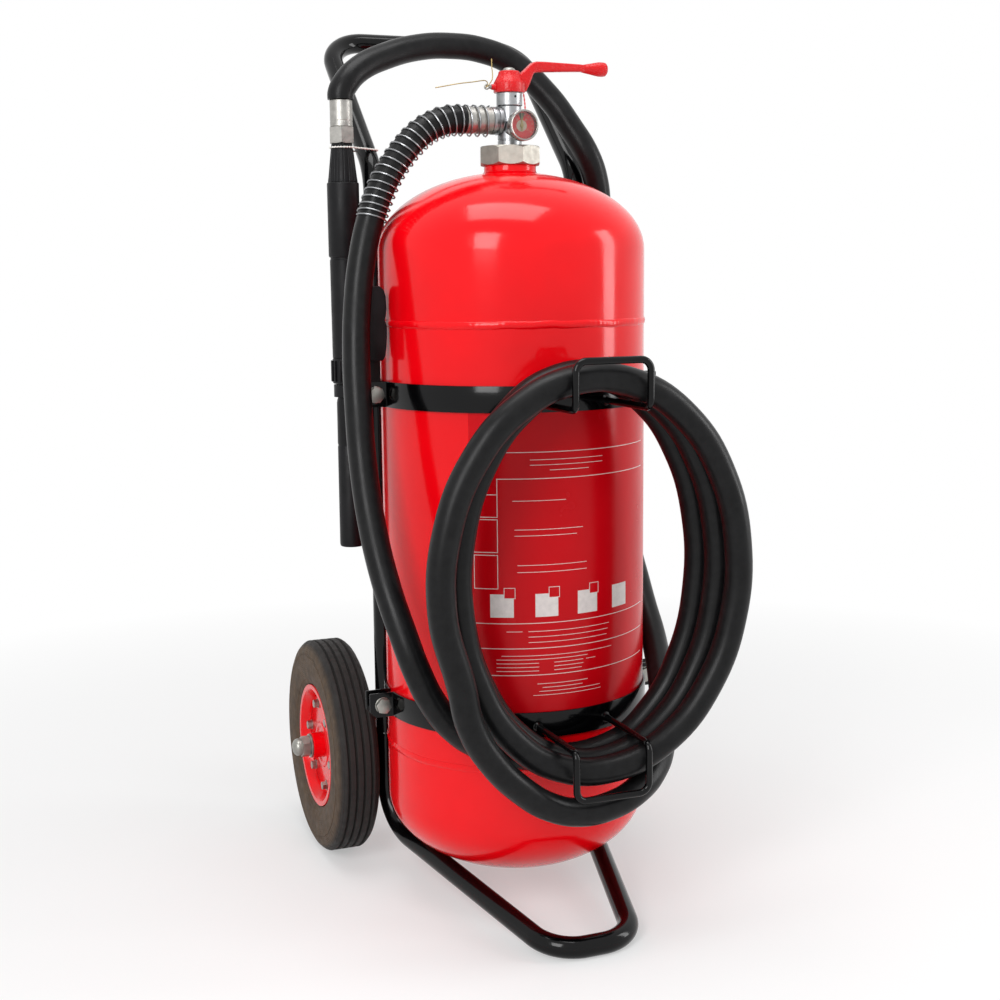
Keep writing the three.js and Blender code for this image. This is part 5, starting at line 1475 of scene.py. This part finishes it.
# ------------------------------------------------------------ nozzle
class MakeNozzle(bpy.types.Operator):
    """Makes the nozzle on the left upright, its holder, its tie and the hose's clip block"""
    bl_idname = "extinguisher.nozzle"
    bl_label = "Nozzle and holder"

    def execute(self, context):
        settings = context.scene.extinguisher_nozzle
        r, tube = mm(settings.barrel), mm(settings.tube)
        at, plastic = (NOZZLE_X, NOZZLE_Y, 0), black_plastic()
        end = lathe([
            (9, 945.3), (13.2, 945.3), (13.6, 945.8), (13.6, 951), (13.4, 951.3), (13.4, 952.3),
            (13.6, 952.6), (13.6, 975.6), (13.3, 976.5), (12.4, 977), (9, 977),
        ], 64, at, ring=True)
        piece("hose_end_ferrule", end, ferrule_metal(), "nozzle_ferrule", slot="aluminium")
        nut = carved(hexagon(28.4, 925.3, 945), peg(8, 924, 946, 40))
        piece("hose_end_nut", moved(nut, at, about=0.25), ferrule_metal(), "nozzle_nut",
              slot="aluminium")
        self.grip(at, plastic)
        barrel = lathe([
            (8, 666.3), (r - 2, 666.3), (r - 1.5, 667), (r - 1.2, 786), (r - 2, 787),
            (r - 2, 788.8), (r - 0.6, 789.8), (r, 791), (r, 877), (r - 0.3, 878.4),
            (r - 0.9, 879), (8, 879),
        ], 64, at, ring=True)
        piece("nozzle_body", barrel, plastic, "nozzle_barrel", slot="moulded_black")
        self.coupling(at, plastic)
        spout = lathe([
            (8, 634.7), (13, 634.7), (13, 617), (13.8, 614.6), (tube - 0.6, 611), (tube - 0.4, 560),
            (tube - 0.9, 559), (tube - 0.9, 557), (tube - 0.4, 556), (tube, 438), (tube, 433),
            (tube - 0.6, 430.6), (tube - 1.4, 430), (tube - 3, 430), (tube - 3.6, 432), (8, 490),
        ], 64, at, ring=True)
        piece("nozzle_spout", spout, plastic, "nozzle_tube", slot="moulded_black")
        self.holder(plastic)
        self.tie()
        self.clip(plastic)
        # the hose ends in the nozzle's ferrule
        return {"FINISHED"}

    def grip(self, at, plastic):
        """Tapered grip with flutes cut along it."""
        body = lathe([
            (8, 879.3), (17.6, 879.3), (18, 879.8), (17.9, 882), (17.4, 884.6),
            (13.6, 918.6), (13, 920), (12.8, 924.4), (12.4, 925), (8, 925),
        ], 96, ring=True)
        for i in range(18):
            flute = lathe([(0, -26), (1.3, -26), (1.5, -24), (1.5, 24), (1.3, 26), (0, 26)], 14)
            moved(turned(flute, radians(-6.3), "Y"), (16.5, 0, 901))
            body = carved(body, turned(flute, 2 * pi * i / 18))
        piece("nozzle_handgrip", moved(body, at), plastic, "nozzle_grip", slot="moulded_black")

    def coupling(self, at, plastic):
        """Square-shouldered collar with upright ribs."""
        body = lathe([
            (8, 635), (17.6, 635), (18.4, 636), (18.4, 664.6), (17.6, 666), (8, 666),
        ], ring=True)
        for i in range(16):
            rib = soften(block(17, 20.6, -1.5, 1.5, 637.5, 663.5), 0.7)
            together(body, turned(rib, 2 * pi * i / 16))
        piece("nozzle_collar", moved(body, at), plastic, "nozzle_coupling", slot="moulded_black")

    def holder(self, plastic):
        """A ring round the upright and a ring round the nozzle, joined by a web."""
        low, high = 618.5, 633.5
        upright, nozzle = (-UPRIGHT_X, UPRIGHT_Y, 0), (NOZZLE_X, NOZZLE_Y, 0)
        web = block(NOZZLE_X, -UPRIGHT_X, NOZZLE_Y - 6, NOZZLE_Y + 9, low + 0.2, high - 0.2)
        body = peg(16, low, high, centre=upright)
        for part in (peg(17.5, low, high, centre=nozzle), web):
            body = carved(body, part, "UNION")
        for hole, steps, place in (
            (12.8, 48, upright), (13.3, 48, nozzle), (164.6, SHELL_STEPS, (0, 0, 0)),
        ):
            body = carved(body, peg(hole, low - 2, high + 2, steps, place))
        soften(body, 0.7, 2, 60)
        piece("nozzle_saddle", body, plastic, "nozzle_holder", slot="moulded_black")

    def tie(self):
        """White beaded tie: a string of beads pulled round the nozzle's neck and the upright."""
        z, bead_step = 920.6, 3.2
        # above its bend the upright leans back, and a level cut through it is an oval
        lean = 194.5 / 181
        ax, ay, bx, by = NOZZLE_X, NOZZLE_Y, -UPRIGHT_X, UPRIGHT_Y + lean * (z - 893)
        tilt = atan2(by - ay, bx - ax)

        def half_turn(x, y, across, deep, first):
            turns = [first + pi * i / 12 for i in range(13)]
            return [Vector((x + across * cos(a), y + deep * sin(a), z)) for a in turns]

        line = half_turn(ax, ay, 14.6, 14.6, tilt + pi / 2)
        line += half_turn(bx, by, 14, 20.2, tilt - pi / 2)
        line.append(line[0])
        tie = rod(line, 0.7, 3)
        for a, b in zip(line, line[1:]):
            count = max(1, round((b - a).length / bead_step))
            for k in range(count):
                bead = bmesh.new()
                bmesh.ops.create_uvsphere(bead, u_segments=10, v_segments=6, radius=1.2)
                together(tie, moved(bead, a.lerp(b, k / count)))
        piece("beaded_tie", tie, white_nylon(), "nozzle_tie", slot="white_card")

    def clip(self, plastic):
        """Moulded block with two lobes, on a strip bolted to the left ear."""
        z, past_shell = BAND_Z[1], 161.6
        outline = [(-164 - inset, z + up) for inset, up in (
            (25, 40), (6, 40), (2.6, 45), (1, 56), (0, 70), (0, 80), (2.4, 87), (1, 92),
            (0, 100), (0.6, 114), (3, 122), (8, 126), (25, 126),
        )]
        lobes = turned(soften(prism(outline, 4, 22), 1.4, 3, 40), pi / 2, "X")
        strip = soften(block(-183, -169, -7.3, -4.8, z - 12, z + 60), 0.4)
        # the lobes leave room for the lead and the cylinder, and the strip for its bolt
        lead = rod(flowing(HOSE_LEAD[4:14]), 16.5, 8)
        body = carved(carved(lobes, lead), peg(past_shell, z, z + 140, 128))
        strip = carved(strip, peg(5.4, -20, 20, 32, (-EAR_BOLT_X, 0, z), "-Y"))
        strip = carved(strip, peg(past_shell, z - 20, z + 140, 128))
        piece("lobed_hose_block", together(body, strip), plastic, "hose_clip", slot="moulded_black")


# ------------------------------------------------------------ hidden pieces
class MakeHidden(bpy.types.Operator):
    """Makes the poppet's spring and finishes the other pieces inside the cylinder and the valve"""
    bl_idname = "extinguisher.hidden"
    bl_label = "Hidden pieces"

    def execute(self, context):
        low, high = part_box("valve_spring")
        wire, turns, each = 0.7, 6, 20
        middle, tall = (mm(high[0]) - mm(low[0])) / 2 - wire, mm(high[2] - low[2])
        line = [
            (middle * cos(2 * pi * i / each), middle * sin(2 * pi * i / each),
             mm(low[2]) + wire + (tall - 2 * wire) * i / (turns * each))
            for i in range(turns * each + 1)
        ]
        spring = piece("poppet_spring", rod(line, wire, 3), spring_steel(), "valve_spring",
                       slot="zinc_steel")
        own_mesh(spring)
        for name, make in (
            ("dip_tube", zinc_plate), ("valve_stem", brass_wire), ("neck_seal", nitrile_rubber),
        ):
            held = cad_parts[name].data.materials
            held.clear()
            held.append(make())
        return {"FINISHED"}


# ------------------------------------------------------------ panel and start
OPERATORS = (
    MakeStage, MakeHose, MakeCylinder, MakeLabel, MakeBands, MakeHooks, MakeTrolley, MakeWheels,
    MakeValve, MakeLever, MakeGauge, MakeOutlet, MakeNozzle, MakeHidden,
)
SETTINGS = {
    "extinguisher_stage": StageSettings,
    "extinguisher_hose": HoseSettings,
    "extinguisher_cylinder": CylinderSettings,
    "extinguisher_label": LabelSettings,
    "extinguisher_trolley": TrolleySettings,
    "extinguisher_wheels": WheelSettings,
    "extinguisher_valve": ValveSettings,
    "extinguisher_nozzle": NozzleSettings,
}


class ExtinguisherPanel(bpy.types.Panel):
    """Lists the pieces of the extinguisher"""
    bl_idname = "VIEW3D_PT_extinguisher"
    bl_label = "Wheeled Fire Extinguisher"
    bl_space_type = "VIEW_3D"
    bl_region_type = "UI"
    bl_category = "Extinguisher"

    def draw(self, context):
        for operator in OPERATORS:
            self.layout.operator(operator.bl_idname)


def register():
    for group in SETTINGS.values():
        bpy.utils.register_class(group)
    for name, group in SETTINGS.items():
        setattr(bpy.types.Scene, name, PointerProperty(type=group))
    for operator in OPERATORS:
        bpy.utils.register_class(operator)
    bpy.utils.register_class(ExtinguisherPanel)


def unregister():
    bpy.utils.unregister_class(ExtinguisherPanel)
    for operator in reversed(OPERATORS):
        bpy.utils.unregister_class(operator)
    for name in SETTINGS:
        delattr(bpy.types.Scene, name)
    for group in reversed(SETTINGS.values()):
        bpy.utils.unregister_class(group)


def corners(box):
    """A box as plain lists of numbers."""
    return [[float(number) for number in corner] for corner in box]


def main():
    """Makes every piece in order."""
    register()
    for operator in OPERATORS:
        kind, name = operator.bl_idname.split(".")
        getattr(getattr(bpy.ops, kind), name)()


if __name__ == "__main__":
    main()
